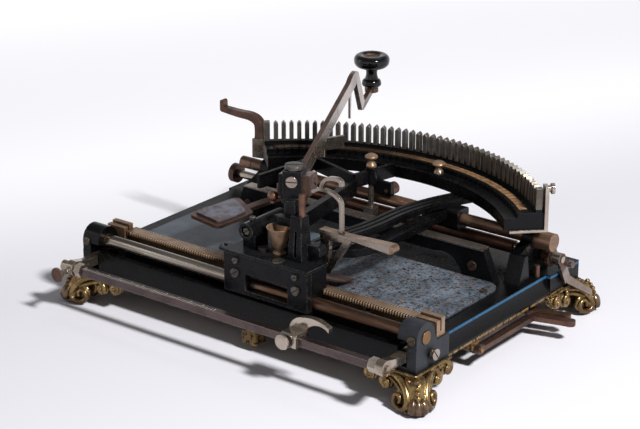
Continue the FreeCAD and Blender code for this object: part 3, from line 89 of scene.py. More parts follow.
class Graph:
    """Adds nodes to a shader tree. A value may be a number, a colour or another node's output."""

    def __init__(self, tree, place):
        self.tree = tree
        self.place = self.add("ShaderNodeTexCoord").outputs[place]

    def add(self, kind, **settings):
        node = self.tree.nodes.new(kind)
        for key, value in settings.items():
            setattr(node, key, value)
        return node

    def join(self, source, target):
        self.tree.links.new(source, target)

    def put(self, node, name, value):
        if hasattr(value, "links"):
            self.join(value, node.inputs[name])
        else:
            node.inputs[name].default_value = value

    def axis(self, letter):
        node = self.add("ShaderNodeSeparateXYZ")
        self.join(self.place, node.inputs[0])
        return node.outputs[letter]

    def stretched(self, scale):
        node = self.add("ShaderNodeMapping")
        self.put(node, "Scale", scale)
        self.join(self.place, node.inputs["Vector"])
        return node.outputs["Vector"]

    def noise(self, scale, detail=6.0, rough=0.6, where=None, warp=0.0):
        node = self.add("ShaderNodeTexNoise")
        for name, value in (("Scale", scale), ("Detail", detail), ("Roughness", rough), ("Distortion", warp),
                            ("Vector", where or self.place)):
            self.put(node, name, value)
        return node.outputs["Fac"]

    def ramp(self, value, low, high, start=0.0, end=1.0, kind="SMOOTHSTEP"):
        """Goes from start to end while the value goes from low to high."""
        node = self.add("ShaderNodeMapRange", interpolation_type=kind)
        for name, number in (("From Min", low), ("From Max", high), ("To Min", start), ("To Max", end),
                             ("Value", value)):
            self.put(node, name, number)
        return node.outputs["Result"]

    def math(self, kind, first, second=0.0, clamp=True):
        node = self.add("ShaderNodeMath", operation=kind, use_clamp=clamp)
        self.put(node, 0, first)
        self.put(node, 1, second)
        return node.outputs[0]

    def times(self, first, second):
        return self.math("MULTIPLY", first, second)

    def plus(self, first, second):
        return self.math("ADD", first, second)

    def larger(self, first, second):
        return self.math("MAXIMUM", first, second)

    def dot(self, first, second):
        node = self.add("ShaderNodeVectorMath", operation="DOT_PRODUCT")
        self.put(node, 0, first)
        self.put(node, 1, second)
        return node.outputs["Value"]

    def mix(self, share, first, second):
        """From the first colour to the second."""
        node = self.add("ShaderNodeMix", data_type="RGBA")
        self.put(node, 0, share)
        self.put(node, 6, first)
        self.put(node, 7, second)
        return node.outputs[2]

    def blend(self, share, first, second):
        """From the first number to the second."""
        node = self.add("ShaderNodeMix", data_type="FLOAT")
        self.put(node, 0, share)
        self.put(node, 2, first)
        self.put(node, 3, second)
        return node.outputs[0]

    def looked_at(self):
        """1 for what the camera sees directly or in a reflection."""
        path = self.add("ShaderNodeLightPath")
        return self.larger(path.outputs["Is Camera Ray"], path.outputs["Is Glossy Ray"])


class Maker(Graph):
    """Builds one material."""

    def __init__(self, name):
        self.material = bpy.data.materials.new(name)
        self.material.use_nodes = True
        super().__init__(self.material.node_tree, "Object")
        self.shader = self.tree.nodes["Principled BSDF"]

    def edges(self, radius, flat=0.995, sharp=0.86):
        """(softened normal, mask of the edges by the cosine between it and the plain normal)"""
        bevel = self.add("ShaderNodeBevel", samples=4)
        self.put(bevel, "Radius", radius)
        plain = self.add("ShaderNodeNewGeometry").outputs["Normal"]
        return bevel.outputs[0], self.ramp(self.dot(bevel.outputs[0], plain), flat, sharp)

    # A mask of painted shade: 1 where ambient occlusion finds a recess, 0 in the open.
    def recess_shade(self, reach, lit=0.85, dim=0.35):
        shade = self.add("ShaderNodeAmbientOcclusion", samples=4, only_local=False)
        self.put(shade, "Distance", reach)
        return self.ramp(shade.outputs["AO"], lit, dim)

    def finish(self, colour, rough, metallic, height, pits, soft):
        """Sets the shader's inputs, with a bump of the given height over the softened normal."""
        bump = self.add("ShaderNodeBump")
        for name, value in (("Strength", pits), ("Distance", PIT_DEPTH), ("Height", height),
                            ("Normal", soft)):
            self.put(bump, name, value)
        for name, value in (("Base Color", colour), ("Roughness", rough), ("Metallic", metallic),
                            ("Normal", bump.outputs["Normal"])):
            self.put(self.shader, name, value)
        return self.material


# ---------------------------------------------------------------- aged finishes
PIT_DEPTH = 0.12 * MM
CREVICE_REACH = 5 * MM
RUST_ROUGH, RUST_METAL = 0.72, 0.15
WORN_ROUGH, DIRT_ROUGH, COAT_ROUGH = 0.38, 0.75, 0.12
# share of the painted shade in recesses
SHADE_COVER = 0.8
PAINT_SPECULAR = 0.14
# The blue line's edges under the deck and their softness, the gilt line's over the base's lower edge, and
# where the blue line's side walls start and are full, outwards from the middle.
BLUE_LOW, BLUE_HIGH, BLUE_SOFT = 3.0 * MM, 0.6 * MM, 0.3 * MM
GILT_HIGH, GILT_SOFT = 2.4 * MM, 0.5 * MM
WALL_START, WALL_FULL = 156.5 * MM, 158 * MM
# Inwards from the rack's edge: where the painted highlight and shade of its teeth end and where they are
# full.
TEETH_END, TEETH_FULL = 3.3 * MM, 2.9 * MM


def aged(name, base, mottle, wear, grime_and_shade, metal=1.0, gloss=(0.25, 0.45), wear_metal=None, wear_amount=0.6,
         rust=None, rust_amount=0.3, grain=(1, 1, 1), scale=60.0, pits=0.25, radius=0.5, coat=0.0,
         after=None):
    """An old finish: base and mottled colour, worn edges, painted shade in crevices where dirt also makes it
    rougher, rust patches and fine pits.
    """
    m = Maker(name)
    large = m.noise(scale, 5.0, 0.6, warp=0.4)
    fine = m.noise(scale * 9, 4.0, 0.65, where=m.stretched(grain))
    soft, edge = m.edges(radius * MM)
    speckle = 0.15 if metal > 0.8 else 0.35
    tone = m.plus(m.ramp(large, 0.36, 0.66, 0.0, 0.8), m.ramp(fine, 0.45, 0.8, 0.0, speckle))
    colour = m.mix(tone, rgb(base), rgb(mottle))
    rough = m.ramp(m.times(large, fine), 0.12, 0.42, gloss[0], gloss[1])
    metallic = metal
    if rust:
        spots = m.ramp(m.noise(scale * 2.3, 8.0, 0.72), 0.62 - 0.3 * rust_amount, 0.72)
        colour = m.mix(spots, colour, m.mix(fine, rgb(rust), rgb(grime_and_shade)))
        rough = m.blend(spots, rough, RUST_ROUGH)
        metallic = m.blend(spots, metallic, RUST_METAL)
    worn = m.times(edge, m.ramp(fine, 0.62 - 0.4 * wear_amount, 0.72))
    colour = m.mix(worn, colour, rgb(wear))
    if wear_metal is not None:
        metallic = m.blend(worn, metallic, wear_metal)
        rough = m.blend(worn, rough, WORN_ROUGH)
    # painted shade: the colour darkens in recesses found by ambient occlusion, and the roughness there rises
    # as for dirt
    shade_and_dirt = m.times(m.recess_shade(CREVICE_REACH), m.ramp(fine, 0.2, 0.6, 0.5, 1.0))
    colour = m.mix(m.times(shade_and_dirt, SHADE_COVER), colour, rgb(grime_and_shade))
    rough = m.blend(shade_and_dirt, rough, DIRT_ROUGH)
    if after:
        colour, rough = after(m, colour, rough, fine)
    if metal < 0.5:
        m.put(m.shader, "Specular IOR Level", PAINT_SPECULAR)
    if coat:
        m.put(m.shader, "Coat Weight", coat)
        m.put(m.shader, "Coat Roughness", COAT_ROUGH)
    return m.finish(colour, rough, metallic, fine, pits, soft)


# Each of the next functions changes a finish by the place on the node, in metres, and returns its colour
# and roughness.
def paint_lines(m, colour, rough, fine):
    """The blue line under the deck's edge and the gilt line along the foot of the base."""
    deck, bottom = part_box("bed_plate")[0].z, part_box("foot_rear_left")[1].z
    z = m.axis("Z")
    side = m.math("ABSOLUTE", m.axis("X"))
    chip = m.ramp(m.noise(140, 6.0, 0.7), 0.3, 0.42)
    blue = m.times(m.ramp(z, deck - BLUE_LOW, deck - BLUE_LOW + BLUE_SOFT),
                   m.ramp(z, deck - BLUE_HIGH, deck - BLUE_HIGH - BLUE_SOFT))
    gilt = m.times(m.ramp(z, bottom + GILT_HIGH, bottom + GILT_HIGH - GILT_SOFT),
                   m.ramp(m.noise(260, 6.0, 0.7), 0.42, 0.5))
    outer = m.ramp(side, WALL_START, WALL_FULL)
    colour = m.mix(m.times(m.times(blue, chip), outer), colour, rgb("275678"))
    return m.mix(gilt, colour, m.mix(fine, rgb("96794a"), rgb("57432a"))), rough


def rail_fade(m, colour, rough, fine):
    """Streaked nickel at the left end, with painted dark reflection bands, that gives way to brown towards
    the right, with brass tips.
    """
    x = m.axis("X")
    wobble = m.times(m.noise(30, 5.0, 0.7), 0.05)
    brown = m.ramp(m.plus(x, wobble), 0.055, -0.005)
    streaks = m.ramp(m.noise(55, 5.0, 0.65, where=m.stretched((0.12, 1, 1))), 0.38, 0.62)
    # painted reflection: dark bands along the rail, laid across it by noise
    painted_reflection_bands = m.ramp(m.noise(190, 4.0, 0.6, where=m.stretched((0.015, 1, 1))), 0.46, 0.62, 0.0, 0.8)
    colour = m.mix(painted_reflection_bands, colour, rgb("54483f"))
    colour = m.mix(brown, colour, m.mix(streaks, rgb("85664f"), rgb("4a352b")))
    tip = m.ramp(m.math("ABSOLUTE", x), 0.148, 0.150)
    brass = m.mix(m.noise(160, 5.0, 0.7), rgb("9a7850"), rgb("6a4e32"))
    return m.mix(tip, colour, brass), m.blend(brown, rough, 0.36)


def rack_teeth(m, colour, rough, fine):
    """Painted shade in the gaps of the rack's teeth and a painted highlight on their tips, at both edges."""
    low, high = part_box("rack_bar")
    x, y = m.axis("X"), m.axis("Y")
    phase = m.math("PINGPONG", m.math("MULTIPLY", x, 1 / (LETTER_SPACE * MM), clamp=False), 0.5)
    gap_shade = m.ramp(phase, 0.16, 0.3)
    edge = m.larger(m.ramp(y, high.y - TEETH_END, high.y - TEETH_FULL),
                    m.ramp(y, low.y + TEETH_END, low.y + TEETH_FULL))
    # painted highlight along the teeth, then painted shade in the gaps between them
    colour = m.mix(m.times(edge, 0.6), colour, rgb("c9a785"))
    return m.mix(m.times(edge, gap_shade), colour, rgb("1a120c")), rough


def strip_fade(m, colour, rough, fine):
    """The index strip darkens towards its left end."""
    return m.mix(m.ramp(m.axis("X"), -0.075, 0.03, 0.0, 0.9), colour, rgb("1c1510")), rough


def foot_patina(m, colour, rough, fine):
    """Gilding that turns to brown bronze in patches and towards the bottom."""
    patch = m.ramp(m.noise(85, 6.0, 0.7, warp=0.6), 0.42, 0.6)
    low = m.ramp(m.axis("Z"), 0.0200, 0.0040)
    worn = m.larger(m.times(patch, 0.6), m.times(low, 0.75))
    return m.mix(worn, colour, m.mix(fine, rgb("5d4535"), rgb("36261b"))), rough


black_iron = aged("black_iron", "060607", "0e0e10", "4a4038", "030303", metal=0.0, gloss=(0.2, 0.4),
                  wear_metal=0.6, wear_amount=0.3, scale=45, pits=0.3, coat=0.06)
base_iron = aged("base_iron", "050506", "0c0c0e", "3f372f", "030303", metal=0.0, gloss=(0.24, 0.44),
                 wear_metal=0.5, wear_amount=0.2, scale=40, pits=0.35, after=paint_lines)
bracket_iron = aged("bracket_iron", "26282c", "323439", "5a5048", "0a0a0b", metal=0.0, gloss=(0.3, 0.5),
                    wear_metal=0.5, wear_amount=0.3, scale=60, pits=0.4)
grey_iron = aged("grey_iron", "101113", "1e1f22", "8a837b", "060607", metal=0.25, gloss=(0.2, 0.4),
                 wear_metal=0.7, wear_amount=0.7, rust="3a2a20", rust_amount=0.25, scale=55, pits=0.3,
                 radius=0.7)
nickel = aged("nickel", "b9ada0", "8c7e70", "e2dad0", "2a211a", metal=0.94, gloss=(0.1, 0.24), rust="6a5442",
              rust_amount=0.03, scale=22, pits=0.03, radius=0.6)
dull_nickel = aged("dull_nickel", "a0948a", "7a6a5e", "cfc4b6", "1d1712", metal=0.92, gloss=(0.2, 0.32),
                   rust="6e5440", rust_amount=0.02, scale=24, pits=0.03, radius=0.6)
rail_steel = aged("rail_steel", "c6bdb0", "a3978a", "d8d0c6", "221b16", metal=0.95, gloss=(0.14, 0.24),
                  grain=(0.1, 0.5, 0.5), scale=14, pits=0.02, after=rail_fade)
fin_steel = aged("fin_steel", "77716a", "4b443c", "b4aca0", "16130f", metal=0.8, gloss=(0.3, 0.5),
                 grain=(1, 1, 0.12), scale=80, pits=0.3, wear_amount=0.9, rust="5c4026", rust_amount=0.2)
brown_steel = aged("brown_steel", "664a3d", "42302a", "94786a", "140d0a", metal=0.7, gloss=(0.26, 0.46),
                   rust="6f3d24", rust_amount=0.2, scale=50, pits=0.2)
bar_steel = aged("bar_steel", "5e504e", "473c3b", "d2cac2", "120d0b", metal=0.85, gloss=(0.2, 0.4),
                 grain=(0.1, 1, 1), scale=40, pits=0.06, wear_amount=1.0, radius=0.7)
aged_brass = aged("aged_brass", "a0836a", "6a503c", "cdb092", "17100a", metal=0.55, gloss=(0.28, 0.46),
                  scale=60, pits=0.2, wear_amount=0.8)
rack_brass = aged("rack_brass", "9a8068", "6a523e", "cdb092", "17100a", metal=0.6, gloss=(0.26, 0.42),
                  grain=(0.2, 1, 1), scale=60, pits=0.1, wear_amount=0.6, after=rack_teeth)
grip_brass = aged("grip_brass", "a58a74", "71594a", "d6c0a8", "17100a", metal=0.85, gloss=(0.2, 0.34),
                  grain=(0.2, 1, 1), scale=40, pits=0.04)
rear_steel = aged("rear_steel", "8a6c58", "5a4234", "b59c84", "17100a", metal=0.7, gloss=(0.26, 0.42),
                  grain=(0.15, 1, 1), scale=40, pits=0.1)
copper = aged("copper", "7a5646", "4e372d", "a88672", "1d100a", metal=0.7, gloss=(0.3, 0.48), scale=70,
              pits=0.2)
gilt = aged("gilt_foot", "a88c5c", "6e5632", "ead7a8", "140d06", metal=0.9, gloss=(0.2, 0.38), rust="3a2812",
            rust_amount=0.25, scale=130, pits=0.35, wear_amount=0.9, radius=0.7, after=foot_patina)
toe_bronze = aged("toe_bronze", "7a6450", "4b3a2d", "b09878", "120c08", metal=0.8, gloss=(0.22, 0.4),
                  scale=90, pits=0.3)
gloss_black = aged("gloss_black", "050506", "0a0a0b", "1c1917", "030303", metal=0.0, gloss=(0.08, 0.16),
                   scale=40, pits=0.03, coat=0.5)
knob_worn = aged("knob_worn", "7a5e50", "4a382f", "9a8070", "120c08", metal=0.3, gloss=(0.3, 0.5), scale=120,
                 pits=0.3)
felt = aged("ink_felt", "6d6f7a", "54463f", "8b8d98", "1f2028", metal=0.0, gloss=(0.85, 1.0), scale=110,
            pits=0.9)
dark_screw = aged("dark_screw", "5f5a55", "3d3935", "9c948b", "0e0d0c", metal=0.85, gloss=(0.26, 0.42),
                  rust="4e382a", rust_amount=0.15, scale=120, pits=0.2)
frame_screw = aged("frame_screw", "6a5d50", "42382f", "a59584", "120e0b", metal=0.8, gloss=(0.3, 0.5),
                   rust="5c3d26", rust_amount=0.4, scale=160, pits=0.3)
strip_brass = aged("strip_brass", "b08a66", "80603f", "d9b58a", "2a1c0c", metal=0.3, gloss=(0.3, 0.5),
                   scale=90, pits=0.2, after=strip_fade)
letter_ink = aged("letter_ink", "0a0908", "15120f", "1c1815", "030303", metal=0.0, gloss=(0.4, 0.6),
                  scale=200, pits=0.2)
tick_paint = aged("tick_paint", "c2bcb4", "8d8780", "e0dad2", "3a3530", metal=0.0, gloss=(0.4, 0.6),
                  scale=220, pits=0.2)


def plate_material():
    """Blue-grey paint, worn smooth at the left and flecked with rust and dark pits towards the right."""
    m = Maker("blue_grey")
    soft, edge = m.edges(0.6 * MM)
    x = m.axis("X")
    flecked = m.ramp(m.plus(x, m.times(m.noise(25, 4.0), 0.06)), 0.05, 0.0)
    fine = m.noise(900, 6.0, 0.7)
    colour = m.mix(m.ramp(m.noise(45, 6.0, 0.65), 0.35, 0.65), rgb("5c6a78"), rgb("8592a0"))
    rust = m.times(m.ramp(m.noise(330, 5.0, 0.72), 0.53, 0.6), flecked)
    colour = m.mix(rust, colour, m.mix(m.noise(900), rgb("8a6248"), rgb("58402f")))
    dark = m.times(m.ramp(m.noise(400, 5.0, 0.75, warp=0.5), 0.52, 0.57), flecked)
    colour = m.mix(dark, colour, rgb("101114"))
    smear = m.times(m.ramp(m.noise(18, 6.0, 0.7, where=m.stretched((3, 0.6, 1))), 0.45, 0.72), 0.6)
    colour = m.mix(smear, colour, rgb("2a2d33"))
    bare = m.times(m.ramp(m.plus(x, m.times(m.noise(18, 4.0), 0.08)), 0.06, 0.13), 0.7)
    colour = m.mix(bare, colour, rgb("33363b"))
    # painted shade: the plate darkens in its recesses, found by ambient occlusion
    colour = m.mix(m.times(m.recess_shade(8 * MM), 0.6), colour, rgb("0c0d10"))
    colour = m.mix(m.times(edge, m.ramp(fine, 0.4, 0.7)), colour, rgb("8f949b"))
    rough = m.blend(rust, m.ramp(fine, 0.3, 0.7, 0.34, 0.5), 0.8)
    return m.finish(colour, rough, m.blend(dark, 0.4, 0.1), m.plus(fine, dark), 0.25, soft)


blue_grey = plate_material()

# ---------------------------------------------------------------- which node has which finish
FINISH = {
    black_iron: ("foot_front_left foot_front_right foot_rear_left foot_rear_right rail_bracket_left "
                 "rear_beam rear_upright_left rear_upright_right carriage_block ribbed_arm slide_arm "
                 "index_ring ring_brace pivot_column"),
    base_iron: "base_casting",
    bracket_iron: "rail_bracket_right",
    grey_iron: "face_plate top_plate pylon shaft_housing swing_head type_sector",
    nickel: ("bail_arm_left bail_arm_right bail_fittings margin_stop stop_thumbscrew feed_shaft "
             "end_bracket feed_sleeves"),
    dull_nickel: ("release_handle knob_arm ring_posts swing_lever pointer_blade head_fittings "
                  "beam_strip line_space_lever"),
    dark_screw: "carriage_screws",
    rail_steel: "front_rail",
    fin_steel: "comb",
    bar_steel: "bail_bar",
    aged_brass: "rack_clamps type_guide",
    rack_brass: "rack_bar",
    rear_steel: "rear_rail",
    brown_steel: "ratchet_wheel key_space key_shift horn ink_tray paper_finger feed_knob",
    copper: "feed_roller guide_wheel",
    gloss_black: "knob",
    felt: "ink_pad",
    blue_grey: "bed_plate",
    frame_screw: "frame_screws",
    strip_brass: "index_strip",
}
for material, names in FINISH.items():
    for name in names.split():
        mesh = nodes[name].data
        mesh.materials.clear()
        mesh.materials.append(material)
        for face in mesh.polygons:
            face.material_index = 0

knob_low, knob_high = box_mm("knob")
knob_axis = (knob_low + knob_high) / 2
HEAD_SIDE = Vector((-0.913, -0.408, 0))    # out of the head's cheek
# Faces that differ from the rest of their node, found by the face's centre (mm) and normal.
TOUCHES = (
    # the worn top of the finger knob
    ("knob", knob_worn, lambda at, normal: at.z > knob_high.z - 3 and (at - knob_axis).xy.length < 7.2),
    # the feed shaft's wide left sleeve and the collar near its right end
    ("feed_sleeves", copper, lambda at, normal: 125 < at.x < 141),
    ("feed_sleeves", brown_steel, lambda at, normal: at.x < -153),
    # the screws and the post on the far half of the deck, and the right bail stud
    ("frame_screws", brown_steel, lambda at, normal: at.y < -20),
    ("frame_screws", nickel, lambda at, normal: at.x < -171 and at.y > 90),
    ("line_space_lever", brown_steel, lambda at, normal: normal.x < -0.5 and at.z > 48),
    # the end of the bail's left collar and the dish of its thumb knob
    ("bail_fittings", brown_steel, lambda at, normal: at.x > 161.5 and at.z < 50 and normal.x > 0.9),
    ("bail_fittings", brown_steel, lambda at, normal: at.y > 153 and normal.y > 0.8),
    # the thumb nuts and the fork at the ring
    ("ring_posts", aged_brass, lambda at, normal: at.z > 101.8 and at.x < 20),
    ("ring_posts", nickel, lambda at, normal: at.x > 40),
    # the link ball and its stem, the lever's top, the head's cheek, the knob arm's top and foot
    ("head_fittings", copper, lambda at, normal: at.z < 128),
    ("swing_lever", brown_steel, lambda at, normal: normal.z > 0.6),
    ("swing_head", brown_steel, lambda at, normal: (at - PIVOT).dot(HEAD_SIDE) > 8.2),
    ("knob_arm", brown_steel, lambda at, normal: normal.z > 0.3 or at.z < 127),
    # the pylon's tip and the horn's foot
    ("pylon", copper, lambda at, normal: at.z > 118.2),
    ("horn", nickel, lambda at, normal: at.z < 103.2),
    # the release handle's bright frame and its grip
    ("release_handle", nickel, lambda at, normal: at.z < 103 and 81 < at.y < 85),
    ("release_handle", grip_brass, lambda at, normal: 100 < at.z < 108 and (
        at.y < 80 or at.y > 86 or at.x < -118 or normal.z > 0.5)),
)
for name, material, picked in TOUCHES:
    mesh = nodes[name].data
    index = len(mesh.materials)
    mesh.materials.append(material)
    for face in mesh.polygons:
        if picked(face.center / MM, face.normal):
            face.material_index = index


# ---------------------------------------------------------------- mesh helpers
TUBE_SIDES, BALL_SIDES, BALL_RINGS = 8, 10, 6


def squash(push, flat, way):
    return push - way * push.dot(way) * (1 - flat)


class Shape:
    """Collects vertices (mm) and faces with material indices for one modelled piece."""

    def __init__(self):
        self.points, self.faces, self.inks = [], [], []

    def rings(self, rows, ink=0):
        """Skins rows of equally many points into a closed tube."""
        first, count = len(self.points), len(rows[0])
        for row in rows:
            self.points += [tuple(p) for p in row]
        for k in range(len(rows) - 1):
            for n in range(count):
                a, b = first + k * count + n, first + k * count + (n + 1) % count
                self.faces.append((a, b, b + count, a + count))
        last = first + (len(rows) - 1) * count
        self.faces.append(tuple(range(first + count - 1, first - 1, -1)))
        self.faces.append(tuple(range(last, last + count)))
        self.inks += [ink] * (len(self.faces) - len(self.inks))

    def tube(self, path, radii, ink=0, flat=1.0, flat_way=UP):
        """A rod of changing radius along a path, squashed by flat along flat_way."""
        path = [Vector(p) for p in path]
        rows, across = [], None
        for k, at in enumerate(path):
            ahead = (path[min(k + 1, len(path) - 1)] - path[max(k - 1, 0)]).normalized()
            if across is None:
                across = ahead.orthogonal().normalized()
            across = (across - ahead * across.dot(ahead)).normalized()
            side = ahead.cross(across)
            row = []
            for n in range(TUBE_SIDES):
                turn = 2 * math.pi * n / TUBE_SIDES
                push = (across * math.cos(turn) + side * math.sin(turn)) * radii[k]
                row.append(at + squash(push, flat, flat_way))
            rows.append(row)
        self.rings(rows, ink)

    def ball(self, at, radius, flat=1.0, flat_way=UP):
        rows = []
        for k in range(1, BALL_RINGS + 1):
            lift = math.pi * k / (BALL_RINGS + 1)
            row = []
            for n in range(BALL_SIDES):
                turn = 2 * math.pi * n / BALL_SIDES
                push = Vector((radius * math.sin(lift) * math.cos(turn),
                               radius * math.sin(lift) * math.sin(turn), -radius * math.cos(lift)))
                row.append(at + squash(push, flat, flat_way))
            rows.append(row)
        self.rings(rows)

    def build(self, name, body, materials, smooth=False, mirror=False, level=0):
        """Makes the object, in metres, riding on a CAD body."""
        mesh = bpy.data.meshes.new(name)
        faces = [face[::-1] for face in self.faces] if mirror else self.faces
        mesh.from_pydata([tuple(c * MM for c in p) for p in self.points], [], faces)
        for material in materials:
            mesh.materials.append(material)
        for face, ink in zip(mesh.polygons, self.inks):
            face.material_index = ink
            face.use_smooth = smooth
        thing = bpy.data.objects.new(name, mesh)
        scene.collection.objects.link(thing)
        if level:
            thing.modifiers.new("smooth", "SUBSURF").levels = level
            thing.modifiers["smooth"].render_levels = level
        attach(thing, body)
        return thing


# ---------------------------------------------------------------- gilt feet
# All in mm. A wing's places are (u, z, h): along the skirt from the toe's axis, up, and out of the skirt.
base_low, base_high = box_mm("base_casting")
TOE_OUT = 5.0    # from the base's sides to the toe's axis
TOE_X, TOE_Y = base_high.x + TOE_OUT, TOE_OUT - base_low.y
# The toe's rings (z, radius) with the share by which they wave, and the leg's (z, shift inwards, radius).
TOE_RINGS = ((0.0, 6.6), (0.6, 8.4), (2.4, 10.4), (4.6, 11.2), (7.4, 10.4), (10.6, 8.4), (14.0, 6.6))
TOE_SIDES, TOE_WAVES, WAVE_SHARE = 36, 5, 0.06
LEG_RINGS = ((17.0, 1.6, 6.4), (21.0, 4.2, 7.4), (26.4, 9.0, 9.0))
# One lobe of the toe and the beads on the corner (out, z, radius), and the lobes' leans in radians.
LOBE = ((5.4, 14.2, 1.2), (8.0, 11.8, 2.8), (9.4, 8.4, 3.8), (9.8, 5.0, 3.7), (9.0, 3.0, 2.6))
LOBE_LEANS = (-0.5, 0, 0.5)
BEADS = ((1.0, 24.6, 2.4), (3.8, 21.4, 2.0), (5.6, 18.0, 2.4), (7.0, 14.8, 1.8))
# Two bands on each wing (u, z, h, radius).
SCROLL = ((25.0, 24.0, -2.6, 1.6), (19.5, 24.2, -1.0, 2.2), (13.5, 22.6, 0.8, 2.8), (8.4, 19.0, 2.8, 3.0),
          (4.6, 14.4, 5.2, 3.0), (2.4, 9.4, 7.6, 3.0), (3.6, 5.2, 9.2, 2.8), (8.0, 3.0, 8.0, 2.6),
          (13.4, 3.2, 5.8, 2.5), (17.2, 7.0, 4.6, 2.5), (17.0, 11.8, 4.4, 2.3), (13.2, 14.2, 5.0, 2.1),
          (9.8, 12.4, 6.2, 1.9), (9.2, 9.0, 7.2, 1.8), (11.6, 7.6, 7.2, 1.6))
RIB = ((28.0, 21.4, -2.8, 1.2), (22.0, 20.8, -1.2, 1.6), (16.6, 18.8, 0.8, 1.9), (12.2, 16.8, 3.0, 1.7),
       (8.4, 14.4, 4.8, 1.3))
# The boss in the scroll, then two volutes, as (u, z), radius, h, with the stem that leads into each.
BOSS = ((10.8, 10.0), 9.0, 5.2)
VOLUTES = (
    (((28.4, 16.6), 7.0, -0.8), ((20.6, 26.0, -3.4), (24.6, 25.6, -2.6), (29.0, 24.4, -1.8))),
    (((42.8, 19.6), 6.8, -1.2), ((35.2, 26.2, -3.6), (38.6, 26.4, -3.0), (42.4, 26.0, -2.2))),
)
CURL_START, CURL_TURNS, CURL_STEPS = math.radians(95), 1.3, 22
WING_LENGTH, WING_BACK, WING_TOP = 52, -10.6, 26.4
# The web's lower edge: its height beside the scrolls, its step up into them, the least height, and its
# height over the toe as far as the toe reaches.
WEB_LOW, WEB_RISE, FLOOR_GAP = 20.5, 1.2, 2.0
TOE_REACH, TOE_TOP = 6, 9.0
# The bead along the wing's top (u, z, radius).
RIM = ((1, 26.6, 1.5), (16, 26.6, 1.5), (34, 26.6, 1.4), (53.0, 26.2, 1.0))
RIM_DEPTH = -3.2


def curl(centre, radius):
    """Points (u, z) of a spiral that winds in towards its centre."""
    path = []
    for k in range(CURL_STEPS + 1):
        share = k / CURL_STEPS
        turn = CURL_START - share * CURL_TURNS * 2 * math.pi
        reach = radius * (1 - 0.78 * share ** 0.9)
        path.append((centre[0] + reach * math.cos(turn), centre[1] + reach * math.sin(turn)))
    return path


def web_low(u):
    """The lower edge of a wing's web, which follows the undersides of the boss and the volutes."""
    if u <= TOE_REACH:
        return TOE_TOP
    low = WEB_LOW
    for (mid, z), radius, _ in [BOSS] + [volute for volute, _ in VOLUTES]:
        if abs(u - mid) < radius:
            low = min(low, z - math.sqrt(radius ** 2 - (u - mid) ** 2))
    return max(low + WEB_RISE, FLOOR_GAP)


def toe(shape, centre, diagonal, sideways):
    """The waved toe with three soft lobes, the leg above it and the beads down the corner."""
    heading = math.atan2(diagonal.y, diagonal.x)

    def ring(middle, radius, wave):
        row = []
        for n in range(TOE_SIDES):
            turn = 2 * math.pi * n / TOE_SIDES
            reach = radius * (1 + wave * math.cos(TOE_WAVES * (turn - heading)))
            row.append(middle + Vector((reach * math.cos(turn), reach * math.sin(turn), 0)))
        return row

    rows = [ring(centre + UP * z, radius, WAVE_SHARE * min(1, z / 4)) for z, radius in TOE_RINGS]
    rows += [ring(centre - diagonal * shift + UP * z, radius, 0) for z, shift, radius in LEG_RINGS]
    shape.rings(rows[:4], 1)
    shape.rings(rows[3:], 0)
    for out, z, radius in BEADS:
        shape.ball(centre + diagonal * out + UP * z, radius)
    for lean in LOBE_LEANS:
        fan = diagonal * math.cos(lean) + sideways * math.sin(lean)
        shape.tube([centre + fan * out + UP * z for out, z, _ in LOBE], [radius for *_, radius in LOBE], 1)


def wing(shape, centre, along, outward):
    """A wing of massive scrolls on a web, along one side of the base."""

    def spot(u, z, h):
        return centre + along * u + outward * h + UP * z

    rows = []
    for k in range(WING_LENGTH):
        u = 1.0 + k
        low = web_low(u)
        rows.append([spot(u, low, WING_BACK), spot(u, low + 0.6, -4.0), spot(u, WING_TOP, -3.6),
                     spot(u, WING_TOP, WING_BACK)])
    shape.rings(rows)
    shape.tube([spot(u, z, RIM_DEPTH) for u, z, _ in RIM], [radius for *_, radius in RIM])
    for band in (SCROLL, RIB):
        shape.tube([spot(u, z, h) for u, z, h, _ in band], [radius for *_, radius in band])
    (mid, z), radius, depth = BOSS
    shape.ball(spot(mid, z, depth - 0.4 * radius), 0.92 * radius, 0.5, outward)
    for (middle, radius, depth), lead in VOLUTES:
        thick = 0.36 * radius
        path = curl(middle, radius - 0.8 * thick)
        radii = [thick * (0.6 + 0.4 * k / len(lead)) for k in range(len(lead))]
        radii += [thick * (1 - 0.45 * k / CURL_STEPS) for k in range(len(path))]
        shape.ball(spot(*middle, depth - 0.5 * radius), 0.92 * radius, 0.5, outward)
        shape.tube([spot(*at) for at in lead] + [spot(*at, depth) for at in path], radii, 0, 0.8, outward)
        shape.ball(spot(*middle, depth + 0.8), 0.3 * radius, 0.8, outward)
        for share in (0.35, 0.68):
            inner = [spot(u - share * 0.5 * radius, z - share * 0.75 * radius, h - 0.4) for u, z, h in lead]
            shape.tube(inner, [thick * (0.5 + 0.12 * k) for k in range(len(inner))], 0, 0.7, outward)


def foot(name, sx, sy):
    """A scroll foot: the toe under a corner of the base and a wing along each side of it."""
    shape = Shape()
    centre = Vector((sx * TOE_X, sy * TOE_Y, 0))
    toe(shape, centre, Vector((sx, sy, 0)).normalized(), Vector((-sy, sx, 0)).normalized())
    wing(shape, centre, Vector((-sx, 0, 0)), Vector((0, sy, 0)))
    wing(shape, centre, Vector((0, -sy, 0)), Vector((sx, 0, 0)))
    thing = shape.build("ornament_" + name, "frame", (gilt, toe_bronze), smooth=True,
                        mirror=sx * sy < 0, level=1)
    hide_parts(name)


for end, sy in (("rear", 1), ("front", -1)):
    for side, sx in (("left", 1), ("right", -1)):
        foot("foot_%s_%s" % (end, side), sx, sy)

# ---------------------------------------------------------------- index letters and bail scale, in mm
FIN_PITCH = 2.0048    # degrees between two fins of the comb
LETTERS = "?!,;.:'-QZXJKVBGYPWMFULCDRHSNIOATE1234567890"
